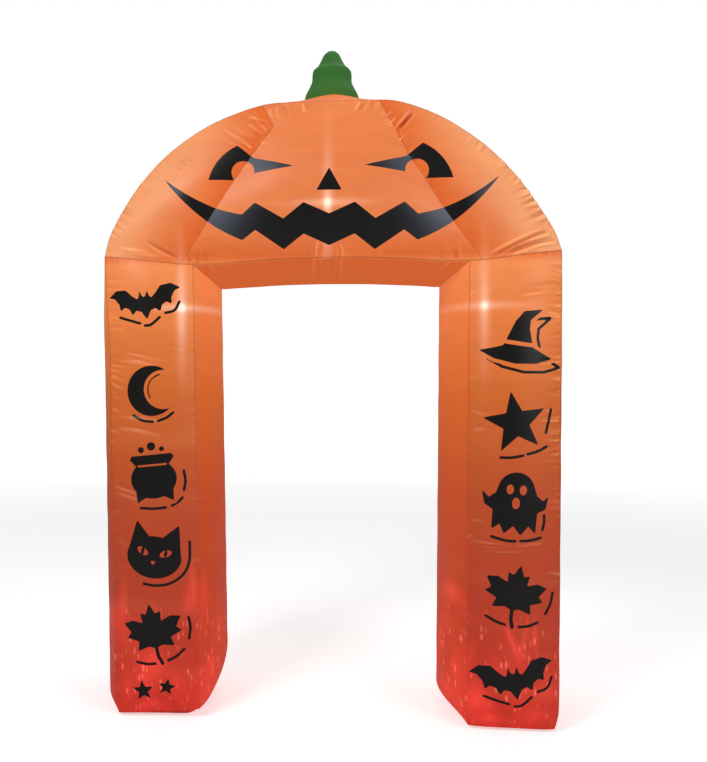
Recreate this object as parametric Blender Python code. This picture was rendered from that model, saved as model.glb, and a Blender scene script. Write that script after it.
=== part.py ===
"""Inflatable doorway arch in the shape of a pumpkin head on two columns.

Metres, +Z up, the front faces -Y. The origin is at the bottom centre, on the ground.
Each chamber is one filled solid: its panels meet at seams that stay on the frame lines, and the
cloth between the seams swells outwards. Every chamber is the surface of a box lattice (a, b, c)
that a placing function bends into shape: a runs across the arch, b from front to back and c up.
"""

import math

import bmesh
import bpy
import numpy as np

# Driving dimensions, in metres.
DEPTH = 0.52            # between the front seams and the back seams
GAP = 0.0003            # between two chambers that are sewn to each other
INNER = 0.54            # centre line to the doorway's corner seams, at the top
FOOT_OF_VALLEY = 0.588 # centre line to the foot of the valley between two pumpkin ribs
HEADER_SEAM = 1.815     # height of the seam under the head at the doorway's corners
SHOULDER = 1.85         # height of the same seam at the arch's outer edge
HEADER_RISE = 0.017     # how much that seam climbs over the middle of the doorway
HEADER_FLAT = 0.44      # centre line to where that climb starts
FRONT_SWELL = 0.045     # crown of a column's front and back panels
SEAM_SWELL = 0.024      # what is left of that crown at the seam under the head
HEADER_SWELL = 0.02     # crown of the header's lower seam over the doorway
RIM_SWELL = 0.040       # crown of the gusset round the outside of the head
MOUND_SWELL = 0.047     # how much higher the stem pulls that gusset up
MOUND_REACH = 0.125     # width of that mound
WIDER = 0.0155          # the head's left edge stands this much further out than the right one
WIDER_FROM = 1.47       # height at which the left column starts to follow it
HEAD_LEAN = {           # how far the head's shoulders stand to the left, between two heights
    -1: (0.013, 1.95, 2.30),
    1: (0.020, 1.83, 2.05),
}
LEAN_FROM = 0.25        # distance from the centre line at which that starts
LEAN_REACH = 0.30       # and over which it grows
CENTRE_SHIFT = 0.01260     # moves the arch sideways, so that its box is centred on the origin
REVEAL_SWELL = 0.080    # crown of the gusset inside the doorway, on the columns
SOFFIT_SWELL = 0.071    # crown of the same gusset under the head
HEAD_SWELL = 0.115      # crown of the head's front and back
RIM_REACH = 0.42        # distance from the rim at which the head reaches its crown
SEAM_REACH = 0.36       # distance from the seam under the head at which it does so
VALLEY_PINCH = 0.42     # share of the head's crown that a valley takes away
VALLEY_WIDTH = 0.27     # reach of a valley to each side
OUTER_REACH = 0.35      # height over which the outer gusset of a column reaches its crown
TOP_FADE = 0.14         # height over which a column's crown settles below the head
EDGE_LINE = 0.03        # from a face to the first lattice line behind it
SOLE_ROUND = 0.07       # width of the rounded strip round a foot's flat sole
CORNER_ROUND = 0.014    # how far a foot's corners are drawn in at the ground
CORNER_HEIGHT = 0.09    # height over which they are
STEM_CENTRE = 0.011     # the stem stands a little to the right of the centre line
STEM_CLEARANCE = 0.0006 # between the stem's edge and the gusset that it is sewn to
STEM_HOLLOW = 0.024     # how far the middle of the stem's foot stands clear of the gusset

# The front seam of the outer gusset over the head, from the crown down to the shoulder.
RIM = (  # distance from the centre line, height
    (0.000, 2.450),
    (0.160, 2.449),
    (0.280, 2.437),
    (0.450, 2.374),
    (0.600, 2.276),
    (0.720, 2.158),
    (0.810, 2.035),
    (0.862, 1.935),
    (0.885, SHOULDER),
)

# The stem's outline from its foot on the gusset to its tip.
STEM = (  # height above the foot, radius
    (0.000, 0.1230),
    (0.012, 0.1205),
    (0.022, 0.1165),
    (0.033, 0.1078),
    (0.044, 0.0986),
    (0.057, 0.0909),
    (0.070, 0.0870),
    (0.095, 0.0857),
    (0.108, 0.0838),
    (0.116, 0.0810),
    (0.125, 0.0712),
    (0.133, 0.0625),
    (0.149, 0.0519),
    (0.165, 0.0436),
    (0.181, 0.0357),
    (0.191, 0.0275),
    (0.199, 0.0180),
)

# The two halves are not quite alike, as on any sewn and blown-up shape.
SIDES = {
    "left": {
        "sign": -1,
        "foot_shift": 0.030,      # the foot stands this much nearer the doorway's middle
        "sole_lift": (0.010, 0.040),   # height of the bottom seam, outer and doorway edge
        "foot_fade": 0.20,        # height over which the reveal swells above the foot
        "foot_bulge": 0.28,       # share of that swell at the sole
        "outer_fade": 0.05,       # the same for the outer gusset
        "outer_swell": 0.032,     # how much more than the head's that gusset swells
        "knee": (0.217, 2.350),   # where the valley bends towards the rim
        "valley_top": 0.262,      # distance of the valley's top from the centre line
        "upper_cells": 3,         # lattice rows of the head from the knee to the rim
    },
    "right": {
        "sign": 1,
        "foot_shift": 0.014,
        "sole_lift": (0.012, 0.016),
        "foot_fade": 0.08,
        "foot_bulge": 0.0,
        "outer_fade": 0.05,
        "outer_swell": 0.005,
        "knee": (0.302, 2.225),
        "valley_top": 0.195,
        "upper_cells": 6,
    },
}

# Lattice cells.
DEPTH_CELLS = 10
COLUMN_CELLS = 28
REVEAL_SIDE_CELLS = 2    # from the doorway's corner to the foot of the valley
SHOULDER_CELLS = 9       # from there to the outer edge
HEAD_ROWS = 16           # from the header seam to the valley's top
HEADER_CELLS = 16        # over the doorway, between its corner seams
STEM_SIDES = 28

ORANGE = (0.80, 0.19, 0.045, 1.0)
GREEN = (0.045, 0.22, 0.06, 1.0)


# Curves and profiles

def crown(t):
    """One at the middle of a panel and nothing at its two seams, t from -1 to 1: a parabola."""
    return 1.0 - t * t


def widened(x, z):
    """Moves the outer edge of the left half outwards, from the top of its column upwards, and
    both shoulders of the head a little to the left."""
    edge = np.clip((-x - 0.5) / (OUTER - 0.5), 0.0, 1.2)
    moved = WIDER * edge * np.clip((z - WIDER_FROM) / (SHOULDER - WIDER_FROM), 0.0, 1.0)
    over = np.clip((np.abs(x) - LEAN_FROM) / LEAN_REACH, 0.0, 1.0)
    for sign, (lean, low, high) in HEAD_LEAN.items():
        share = np.clip((z - low) / (high - low), 0.0, 1.0) * (x * sign > 0)
        moved = moved + lean * over * over * (3 - 2 * over) * share * share * (3 - 2 * share)
    return x - moved


def settle(distance, reach):
    """Rises from 0 at a seam to 1 at the given reach, steep first and then level."""
    left = np.clip(1.0 - distance / reach, 0.0, 1.0)
    return 1.0 - left * left


def smooth_curve(points, samples_per_span=16):
    """A Catmull-Rom curve through the points, as an array of closely spaced points."""
    p = np.array(points, float)
    before = 2 * p[0] - p[1]
    after = 2 * p[-1] - p[-2]
    p = np.vstack([before, p, after])
    t = np.linspace(0.0, 1.0, samples_per_span, endpoint=False)[:, None]
    spans = [
        0.5 * (2 * p1 + (p2 - p0) * t + (2 * p0 - 5 * p1 + 4 * p2 - p3) * t**2
               + (3 * p1 - p0 - 3 * p2 + p3) * t**3)
        for p0, p1, p2, p3 in zip(p, p[1:], p[2:], p[3:])
    ]
    return np.vstack(spans + [p[-2]])


def along(curve, shares):
    """Points of a curve at the given shares of its length."""
    steps = np.hypot(*np.diff(curve, axis=0).T)
    run = np.concatenate([[0.0], np.cumsum(steps)])
    at = np.asarray(shares) * run[-1]
    return np.stack([np.interp(at, run, curve[:, 0]), np.interp(at, run, curve[:, 1])], axis=-1)


def distance_to(curve, x, z):
    """Distance of each point (x, z) from a curve given by its points."""
    start, step = curve[:-1], np.diff(curve, axis=0)
    offset_x = x[..., None] - start[:, 0]
    offset_z = z[..., None] - start[:, 1]
    share = (offset_x * step[:, 0] + offset_z * step[:, 1]) / (step**2).sum(axis=1)
    share = np.clip(share, 0.0, 1.0)
    gap_x = offset_x - share * step[:, 0]
    gap_z = offset_z - share * step[:, 1]
    return np.sqrt(gap_x**2 + gap_z**2).min(axis=-1)


RIM_CURVE = smooth_curve(RIM)
OUTER = RIM[-1][0]      # centre line to the outer edge seam, at the shoulder


def rim_height(out):
    """Height of the rim at a distance from the centre line."""
    return np.interp(out, RIM_CURVE[:, 0], RIM_CURVE[:, 1])


def valley_of(side):
    """The valley of one half: its foot, its knee and its top on the rim."""
    top = (side["valley_top"], float(rim_height(side["valley_top"])))
    return np.array([(FOOT_OF_VALLEY, HEADER_SEAM), side["knee"], top])


def header_height(out):
    """Height of the seam under the head: level at the corners, climbing to the shoulder and,
    as a parabola, over the middle of the doorway."""
    shoulder = np.clip((out - FOOT_OF_VALLEY) / (OUTER - FOOT_OF_VALLEY), 0.0, 1.1)
    middle = np.clip(1.0 - (out / HEADER_FLAT) ** 2, 0.0, None)
    return HEADER_SEAM + (SHOULDER - HEADER_SEAM) * shoulder + HEADER_RISE * middle


def header_swell(out):
    """How far the seam under the head stands in front of the frame line: two parabolas, one
    over the column and one over the doorway, with the corner seams pinched between them."""
    across = 2.0 * (out - INNER) / (OUTER - INNER) - 1.0
    over_column = SEAM_SWELL * np.clip(crown(across), 0.0, None)
    over_door = HEADER_SWELL * np.clip(crown(out / HEADER_FLAT), 0.0, None)
    return np.where(out > INNER, over_column, over_door)


def head_swell(side, out, height):
    """The head's crown: full away from the rim and from the seam below it, and drawn in along
    the valley between two ribs."""
    from_rim = distance_to(RIM_CURVE, out, height)
    from_seam = np.clip(height - header_height(out), 0.0, None)
    from_valley = distance_to(valley_of(side), out, height)
    pinch = np.clip(1.0 - from_valley / VALLEY_WIDTH, 0.0, 1.0) ** 2
    rise = settle(from_seam, SEAM_REACH)
    full = HEAD_SWELL * settle(from_rim, RIM_REACH) * (1.0 - VALLEY_PINCH * pinch)
    return header_swell(out) * (1.0 - rise) + full * rise


# Meshes

def lattice_object(name, a, b, c, place, colour):
    """Makes an object of the outside of a box lattice whose points the placing function moves
    to their places. The function takes the lattice values and returns x, y and z."""
    counts = (len(a), len(b), len(c))
    i, j, k = np.meshgrid(*(np.arange(n) for n in counts), indexing="ij")
    outside = np.zeros(counts, bool)
    for index, count in zip((i, j, k), counts):
        outside |= (index == 0) | (index == count - 1)
    number = np.full(counts, -1)
    number[outside] = np.arange(outside.sum())
    x, y, z = place(a[i[outside]], b[j[outside]], c[k[outside]])
    points = np.stack([widened(x, z), y, z], axis=-1)
    sides = (number[0], number[-1], number[:, 0], number[:, -1], number[:, :, 0], number[:, :, -1])
    quads = [
        np.stack([s[:-1, :-1], s[1:, :-1], s[1:, 1:], s[:-1, 1:]], axis=-1).reshape(-1, 4)
        for s in sides
    ]
    return finish_object(name, points.tolist(), np.concatenate(quads).tolist(), colour)


def finish_object(name, points, faces, colour):
    """Makes the closed mesh, turns its faces outwards, splits them into triangles and gives the
    object its own cloth material."""
    mesh = bpy.data.meshes.new(name)
    mesh.from_pydata([(x + CENTRE_SHIFT, y, z) for x, y, z in points], [], faces)
    edit = bmesh.new()
    edit.from_mesh(mesh)
    bmesh.ops.recalc_face_normals(edit, faces=edit.faces)
    if edit.calc_volume(signed=True) < 0:
        bmesh.ops.reverse_faces(edit, faces=edit.faces)
    bmesh.ops.triangulate(edit, faces=edit.faces)
    edit.to_mesh(mesh)
    edit.free()
    mesh.shade_smooth()
    mesh.set_sharp_from_angle(angle=math.radians(40))
    mesh.materials.append(cloth_material(name + "_cloth", colour))
    made = bpy.data.objects.new(name, mesh)
    bpy.context.scene.collection.objects.link(made)
    return made


def cloth_material(name, colour):
    """Thin coated polyester."""
    material = bpy.data.materials.new(name)
    material.use_nodes = True
    shader = material.node_tree.nodes["Principled BSDF"]
    shader.inputs["Base Color"].default_value = colour
    shader.inputs["Roughness"].default_value = 0.45
    shader.inputs["Metallic"].default_value = 0.0
    return material


# Pieces

def shoulder_lines():
    """Distances from the centre line of the lattice lines over a column, from the doorway's
    corner to the outer edge. The column and the rib on it share them."""
    near = np.linspace(INNER, FOOT_OF_VALLEY, REVEAL_SIDE_CELLS + 1)
    far = np.linspace(FOOT_OF_VALLEY, OUTER - EDGE_LINE, SHOULDER_CELLS)
    return near, np.append(far, OUTER)


def depth_lines():
    """Lattice lines from front to back, from -1 to 1, with one close to each face."""
    close = 1.0 - EDGE_LINE / (DEPTH / 2)
    return np.concatenate([[-1.0], np.linspace(-close, close, DEPTH_CELLS - 1), [1.0]])


def column(name, side):
    """A column: a tube with four seams, front, back, reveal and outer gusset swelling between
    them, standing on a flat sole whose edge is rounded."""
    near, far = shoulder_lines()
    a = np.concatenate([near, far[1:]])
    b = depth_lines()
    c = np.linspace(0.0, 1.0, COLUMN_CELLS + 1) ** 1.25

    def place(out, deep, up):
        across = 2.0 * (out - INNER) / (OUTER - INNER) - 1.0
        seam = np.interp(across, (-1.0, 1.0), side["sole_lift"][::-1])
        top = header_height(out) - SOFFIT_SWELL * crown(deep) - GAP
        from_side = np.minimum(out - INNER, OUTER - out)
        from_face = (1.0 - np.abs(deep)) * DEPTH / 2
        on_floor = settle(from_side, SOLE_ROUND) * settle(from_face, SOLE_ROUND)
        bottom = seam * (1.0 - on_floor)
        z = bottom + (top - bottom) * up
        from_top = header_height(out) - z
        front = FRONT_SWELL * crown(across) * settle(z - seam, 0.16)
        front_top = header_swell(out)
        blend = settle(from_top, TOP_FADE)
        y = deep * (DEPTH / 2 + front * blend + front_top * (1.0 - blend))
        lean = side["foot_shift"] * (1.0 - np.clip(z / HEADER_SEAM, 0.0, 1.0))
        risen = settle(z - seam, side["foot_fade"])
        risen = side["foot_bulge"] + (1.0 - side["foot_bulge"]) * risen
        outer_risen = settle(z - seam, side["outer_fade"])
        reveal = REVEAL_SWELL * crown(deep) * risen * (out == INNER)
        outer_swell = RIM_SWELL + side["outer_swell"] * settle(top - z, OUTER_REACH)
        gusset = outer_swell * crown(deep) * outer_risen * (out == OUTER)
        near_ground = CORNER_ROUND * np.clip(1.0 - z / CORNER_HEIGHT, 0.0, 1.0) ** 2
        corner = near_ground * across**4 * deep**4
        x = out - lean - reveal + gusset - np.sign(across) * corner
        y -= np.sign(deep) * corner
        return side["sign"] * x, y, z

    return lattice_object(name, a, b, c, place, ORANGE)


def patch(left, right, bottom, top):
    """A Coons patch: the surface between four edge curves that meet at their corners. Rows run
    across and columns up."""
    across = np.linspace(0.0, 1.0, len(bottom))[:, None, None]
    up = np.linspace(0.0, 1.0, len(left))[None, :, None]
    ruled_across = (1 - across) * left[None] + across * right[None]
    ruled_up = (1 - up) * bottom[:, None] + up * top[:, None]
    corners = (
        (1 - across) * (1 - up) * bottom[0] + across * (1 - up) * bottom[-1]
        + (1 - across) * up * top[0] + across * up * top[-1]
    )
    return ruled_across + ruled_up - corners


def valley_points(side, gap):
    """Points of a valley at the lattice lines, foot to top, moved across by a gap."""
    foot, knee, top = valley_of(side)
    lower = np.linspace(foot, knee, HEAD_ROWS - side["upper_cells"] + 1)
    upper = np.linspace(knee, top, side["upper_cells"] + 1)
    points = np.vstack([lower, upper[1:]])
    points[:, 0] += gap
    return points


def outward(curve):
    """Unit vectors square to a curve of (x, z) points, on its left as it is followed."""
    run = np.gradient(curve, axis=0)
    run /= np.hypot(*run.T)[:, None]
    return np.stack([-run[:, 1], run[:, 0]], axis=-1)


def head_piece(name, grid, side_at, push_left, push_right, push_top):
    """A chamber of the head: a flat patch of (x, z) points given its depth and its crown. The
    three pushes are the outward vectors of the gusset on the patch's edges, or None on an edge
    that another chamber covers."""
    columns, rows = grid.shape[:2]
    a, b, c = np.arange(columns, dtype=float), depth_lines(), np.arange(rows, dtype=float)

    def place(across, deep, up):
        i, k = across.astype(int), up.astype(int)
        x, z = grid[i, k, 0], grid[i, k, 1]
        swell = np.zeros(len(x))
        for sign in (-1, 1):
            half = np.sign(x + 1e-9) == sign
            side = side_at(sign)
            swell[half] = head_swell(side, np.abs(x[half]), z[half])
        on_rim = (k == rows - 1) | ((i == 0) & (push_left is not None))
        on_rim |= (i == columns - 1) & (push_right is not None)
        swell[on_rim] = 0.0
        y = deep * (DEPTH / 2 + swell)
        move = np.zeros((len(x), 2))
        for push, chosen, index in (
            (push_left, i == 0, k),
            (push_right, i == columns - 1, k),
            (push_top, k == rows - 1, i),
        ):
            if push is not None:
                move[chosen] = push[index[chosen]]
        move *= (RIM_SWELL * crown(deep))[:, None]
        z_up = np.where(k == rows - 1, mound(x) * crown(deep), 0.0)
        z_down = np.where(k == 0, SOFFIT_SWELL * crown(deep), 0.0)
        return x + move[:, 0], y, z + move[:, 1] + z_up - z_down

    return lattice_object(name, a, b, c, place, ORANGE)


def head_side(name, side):
    """The rib of the head that stands on a column, from the shoulder up to the valley."""
    sign = side["sign"]
    rows = HEAD_ROWS
    top_share = rim_share(side["valley_top"])
    turn_share = 0.5 * (1.0 + top_share)
    outer = along(RIM_CURVE, np.linspace(1.0, turn_share, rows + 1))
    top = along(RIM_CURVE, np.linspace(turn_share, top_share, SHOULDER_CELLS + 1))
    foot = shoulder_lines()[1][::-1]
    bottom = np.stack([foot, header_height(foot)], axis=-1)
    valley = valley_points(side, GAP / 2)
    bottom[0] = outer[0]
    bottom[-1] = valley[0]
    top[-1] = valley[-1]
    grid = patch(outer, valley, bottom, top)
    rim_line = np.vstack([outer, top[1:]])
    push = -outward(rim_line)
    push[0] = (1.0, 0.0)
    push[-1] = unit(valley[-1] - valley[-2])
    grid[..., 0] *= sign
    push[:, 0] *= sign
    return head_piece(name, grid, lambda _: side, push[: rows + 1], None, push[rows:])


def rim_share(out):
    """Share of the rim's length, from the crown, at a distance from the centre line."""
    steps = np.hypot(*np.diff(RIM_CURVE, axis=0).T)
    run = np.concatenate([[0.0], np.cumsum(steps)]) / steps.sum()
    return float(np.interp(out, RIM_CURVE[:, 0], run))


def unit(vector):
    return vector / np.hypot(*vector)


def head_middle(name, left, right):
    """The middle rib, between the two valleys, with the soffit over the doorway under it."""
    corner = np.linspace(FOOT_OF_VALLEY, INNER, REVEAL_SIDE_CELLS + 1)
    door = np.linspace(-INNER, INNER, HEADER_CELLS + 1)
    foot = np.concatenate([-corner[:-1], door, corner[::-1][1:]])
    bottom = np.stack([foot, header_height(np.abs(foot))], axis=-1)
    valley_left = valley_points(left, -GAP / 2) * (-1, 1)
    valley_right = valley_points(right, -GAP / 2)
    half = len(foot) // 2
    left_shares = np.linspace(rim_share(left["valley_top"]), 0.0, half + 1)
    right_shares = np.linspace(0.0, rim_share(right["valley_top"]), half + 1)
    rim_left = along(RIM_CURVE, left_shares) * (-1, 1)
    rim_right = along(RIM_CURVE, right_shares)
    top = np.vstack([rim_left, rim_right[1:]])
    for edge in (bottom, top):
        end = 0 if edge is bottom else -1
        edge[0] = valley_left[end]
        edge[-1] = valley_right[end]
    grid = patch(valley_left, valley_right, bottom, top)
    push = outward(top)
    push[0] = unit(valley_left[-1] - valley_left[-2])
    push[-1] = unit(valley_right[-1] - valley_right[-2])
    return head_piece(name, grid, lambda sign: left if sign < 0 else right, None, None, push)


def mound(x):
    """How much higher the outer gusset stands round the stem."""
    return MOUND_SWELL * np.exp(-((x - STEM_CENTRE) / MOUND_REACH) ** 2)


def gusset_height(x, y):
    """Height of the outer gusset over the head, near the stem. The rim's slight slope there
    moves each point of the gusset outwards as it swells."""
    bow = crown(y / (DEPTH / 2))
    slope = (rim_height(np.abs(x + 0.01)) - rim_height(np.abs(x - 0.01))) / 0.02
    start = x + slope * RIM_SWELL * bow
    return rim_height(np.abs(start)) + (RIM_SWELL + mound(start)) * bow


def stem(name):
    """The stem: a turned outline with two shallow side seams, its foot following the gusset."""
    outline = np.array(STEM)
    turn = np.linspace(0.0, 2 * math.pi, STEM_SIDES, endpoint=False)
    crest = gusset_height(STEM_CENTRE, 0.0)
    points = []
    for height, radius in outline:
        pinch = 1.0 - 0.04 * np.abs(np.cos(turn)) ** 8
        x = STEM_CENTRE + radius * pinch * np.cos(turn)
        y = 0.92 * radius * pinch * np.sin(turn)
        foot = gusset_height(x, y) + STEM_CLEARANCE
        level = crest + STEM_CLEARANCE + height
        share = min(height / 0.05, 1.0)
        z = (foot + height) * (1.0 - share) + level * share
        points.append(np.stack([x, y, z], axis=-1))
    rings = len(points)
    points = np.vstack(points + [[(STEM_CENTRE, 0.0, crest + STEM_HOLLOW)],
                                 [(STEM_CENTRE, 0.0, crest + STEM[-1][0] + 0.003)]])
    ring = np.arange(STEM_SIDES)
    following = (ring + 1) % STEM_SIDES
    faces = []
    for level in range(rings - 1):
        low, high = level * STEM_SIDES, (level + 1) * STEM_SIDES
        faces += np.stack([low + ring, low + following, high + following, high + ring], -1).tolist()
    last = (rings - 1) * STEM_SIDES
    under, tip = rings * STEM_SIDES, rings * STEM_SIDES + 1
    faces += [(int(n), int(m), under) for m, n in zip(ring, following)]
    faces += [(last + int(m), last + int(n), tip) for m, n in zip(ring, following)]
    return finish_object(name, points.tolist(), faces, GREEN)


def main():
    for existing in list(bpy.data.objects):
        bpy.data.objects.remove(existing, do_unlink=True)
    left, right = SIDES["left"], SIDES["right"]
    column("left_column", left)
    column("right_column", right)
    head_side("head_left", left)
    head_side("head_right", right)
    head_middle("head_middle", left, right)
    stem("stem")


main()
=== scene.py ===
"""Looks of an inflatable doorway arch: a pumpkin head with a stem on two columns.

Metres, +Z up, the front faces -Y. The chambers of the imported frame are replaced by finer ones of
the same blown-up shape, with the puckers and folds of thin cloth sewn along its seams, the black
print and the light of the lamps inside.
"""

import math

import bpy
import numpy as np
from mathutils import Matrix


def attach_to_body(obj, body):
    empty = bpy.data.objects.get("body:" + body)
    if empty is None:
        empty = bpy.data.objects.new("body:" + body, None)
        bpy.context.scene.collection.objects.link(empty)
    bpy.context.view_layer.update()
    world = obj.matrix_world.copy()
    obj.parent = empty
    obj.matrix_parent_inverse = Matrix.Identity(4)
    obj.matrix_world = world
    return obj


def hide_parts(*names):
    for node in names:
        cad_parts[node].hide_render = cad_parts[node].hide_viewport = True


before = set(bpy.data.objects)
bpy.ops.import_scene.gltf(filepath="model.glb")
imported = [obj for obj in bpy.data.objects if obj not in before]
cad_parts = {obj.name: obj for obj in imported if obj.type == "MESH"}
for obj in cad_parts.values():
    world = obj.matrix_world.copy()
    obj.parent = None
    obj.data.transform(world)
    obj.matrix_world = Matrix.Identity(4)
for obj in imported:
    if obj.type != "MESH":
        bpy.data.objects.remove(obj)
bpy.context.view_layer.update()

# Driving dimensions of the shape, in metres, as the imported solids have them.
DEPTH = 0.52            # between the front seams and the back seams
GAP = 0.0003            # between two chambers that are sewn to each other
INNER = 0.54            # centre line to the doorway's corner seams, at the top
FOOT_OF_VALLEY = 0.588  # centre line to the foot of the valley between two pumpkin ribs
HEADER_SEAM = 1.815     # height of the seam under the head at the doorway's corners
SHOULDER = 1.85         # height of the same seam at the arch's outer edge
HEADER_RISE = 0.017     # how much that seam climbs over the middle of the doorway
HEADER_FLAT = 0.44      # centre line to where that climb starts
FRONT_SWELL = 0.045     # crown of a column's front and back panels
SEAM_SWELL = 0.024      # what is left of that crown at the seam under the head
HEADER_SWELL = 0.02     # crown of the header's lower seam over the doorway
RIM_SWELL = 0.040       # crown of the gusset round the outside of the head
MOUND_SWELL = 0.047     # how much higher the stem pulls that gusset up
MOUND_REACH = 0.125     # width of that mound
OUTER_REACH = 0.35      # height over which the outer gusset of a column reaches its crown
WIDER = 0.0155          # the head's left edge stands this much further out than the right one
WIDER_FROM = 1.47       # height at which the left column starts to follow it
HEAD_LEAN = {           # how far the head's shoulders stand to the left, between two heights
    -1: (0.013, 1.95, 2.30),
    1: (0.020, 1.83, 2.05),
}
LEAN_FROM = 0.25        # distance from the centre line at which that starts
LEAN_REACH = 0.30       # and over which it grows
CENTRE_SHIFT = 0.01260  # moves the arch sideways, so that its box is centred on the origin
REVEAL_SWELL = 0.080    # crown of the gusset inside the doorway, on the columns
SOFFIT_SWELL = 0.071    # crown of the same gusset under the head
HEAD_SWELL = 0.115      # crown of the head's front and back
RIM_REACH = 0.42        # distance from the rim at which the head reaches its crown
SEAM_REACH = 0.36       # distance from the seam under the head at which it does so
VALLEY_PINCH = 0.42     # share of the head's crown that a valley takes away
VALLEY_WIDTH = 0.27     # reach of a valley to each side
TOP_FADE = 0.14         # height over which a column's crown settles below the head
FACE_FADE = 0.16        # height over which it settles above the foot
SOLE_ROUND = 0.07       # width of the rounded strip round a foot's flat sole
CORNER_ROUND = 0.014    # how far a foot's corners are drawn in at the ground
CORNER_HEIGHT = 0.09    # height over which they are
STEM_CENTRE = 0.011     # the stem stands a little to the right of the centre line
STEM_CLEARANCE = 0.0006  # between the stem's edge and the gusset that it is sewn to
STEM_HOLLOW = 0.024     # how far the middle of the stem's foot stands clear of the gusset
STEM_PINCH = 0.05       # share of the radius that its two side seams draw in
STEM_FLAT = 0.92        # its depth over its width
STEM_FOLDS = ((0.0016, 9, 14), (0.0012, 17, -30))    # relief, how many round it, turn upwards
GUSSET_TURN = 0.10      # rim over which the outer gusset's direction turns to a valley's
GUSSET_LEVEL = 0.12     # and over which it turns level at a shoulder

RIM = (  # distance from the centre line, height
    (0.000, 2.450),
    (0.160, 2.449),
    (0.280, 2.437),
    (0.450, 2.374),
    (0.600, 2.276),
    (0.720, 2.158),
    (0.810, 2.035),
    (0.862, 1.935),
    (0.885, SHOULDER),
)

STEM = (  # height above the foot, radius
    (0.000, 0.1230),
    (0.012, 0.1205),
    (0.022, 0.1165),
    (0.033, 0.1078),
    (0.044, 0.0986),
    (0.057, 0.0909),
    (0.070, 0.0870),
    (0.095, 0.0857),
    (0.108, 0.0838),
    (0.116, 0.0810),
    (0.125, 0.0712),
    (0.133, 0.0625),
    (0.149, 0.0519),
    (0.165, 0.0436),
    (0.181, 0.0357),
    (0.191, 0.0275),
    (0.199, 0.0180),
)

SIDES = {
    "left": {
        "sign": -1,
        "foot_shift": 0.030,
        "sole_lift": (0.010, 0.040),
        "foot_fade": 0.20,
        "foot_bulge": 0.28,
        "outer_fade": 0.05,
        "outer_swell": 0.032,
        "knee": (0.217, 2.350),
        "valley_top": 0.262,
        "upper_cells": 22,
    },
    "right": {
        "sign": 1,
        "foot_shift": 0.014,
        "sole_lift": (0.012, 0.016),
        "foot_fade": 0.08,
        "foot_bulge": 0.0,
        "outer_fade": 0.05,
        "outer_swell": 0.005,
        "knee": (0.302, 2.225),
        "valley_top": 0.195,
        "upper_cells": 54,
    },
}

# Sizes of the lattice cells on the cloth, in metres.
FACE_CELL = 0.0050
GUSSET_CELL = 0.0130
HEAD_ROWS = 166          # lattice rows of the head, from its lower seam to the valley's top
HEAD_COLUMNS = 92        # lattice columns of an outer rib, and of half the middle one
STEM_SIDES = 128
STEM_RINGS = 72

FOLD_RELIEF = 1.15        # multiplies the relief of every fold
SEAM_TAUT = 0.035         # a gusset has no folds at its seams and takes them up over this
GROUND_TAUT = 0.05        # height over which a column's folds grow from the ground up
TOP_TAUT = 0.03           # and over which its gussets' folds fade below the head
SOFFIT_FOLDS = 0.8        # share of a gusset's folds that the soffit has

# Puckers along the seams: spacing, reach, relief, share of them left out.
GUSSET_PUCKERS = (0.036, 0.075, 0.0028, 0.25)
OUTER_PUCKERS = (0.026, 0.075, 0.0042, 0.20)     # on a column's face, off its outer seam
INNER_PUCKERS = (0.026, 0.045, 0.0026, 0.20)     # and off the doorway's seam
TOP_PUCKERS = (0.026, 0.050, 0.0026, 0.30)       # and off the seam under the head
FOOT_PUCKERS = (0.030, 0.080, 0.0040, 0.20)
RIM_PUCKERS = (0.024, 0.075, 0.0040, 0.15)
VALLEY_PUCKERS = (0.028, 0.045, 0.0026, 0.40)
HEADER_PUCKERS = (0.026, 0.055, 0.0030, 0.30)    # on the head, off the seam under it

# Slow unevenness of the cloth: height of the waves, their length across and up.
GUSSET_BILLOW = (0.0018, 0.5, 0.30)
COLUMN_BILLOW = (0.0022, 0.9, 0.22)
HEAD_BILLOW = (0.0022, 0.5, 0.40)

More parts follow.
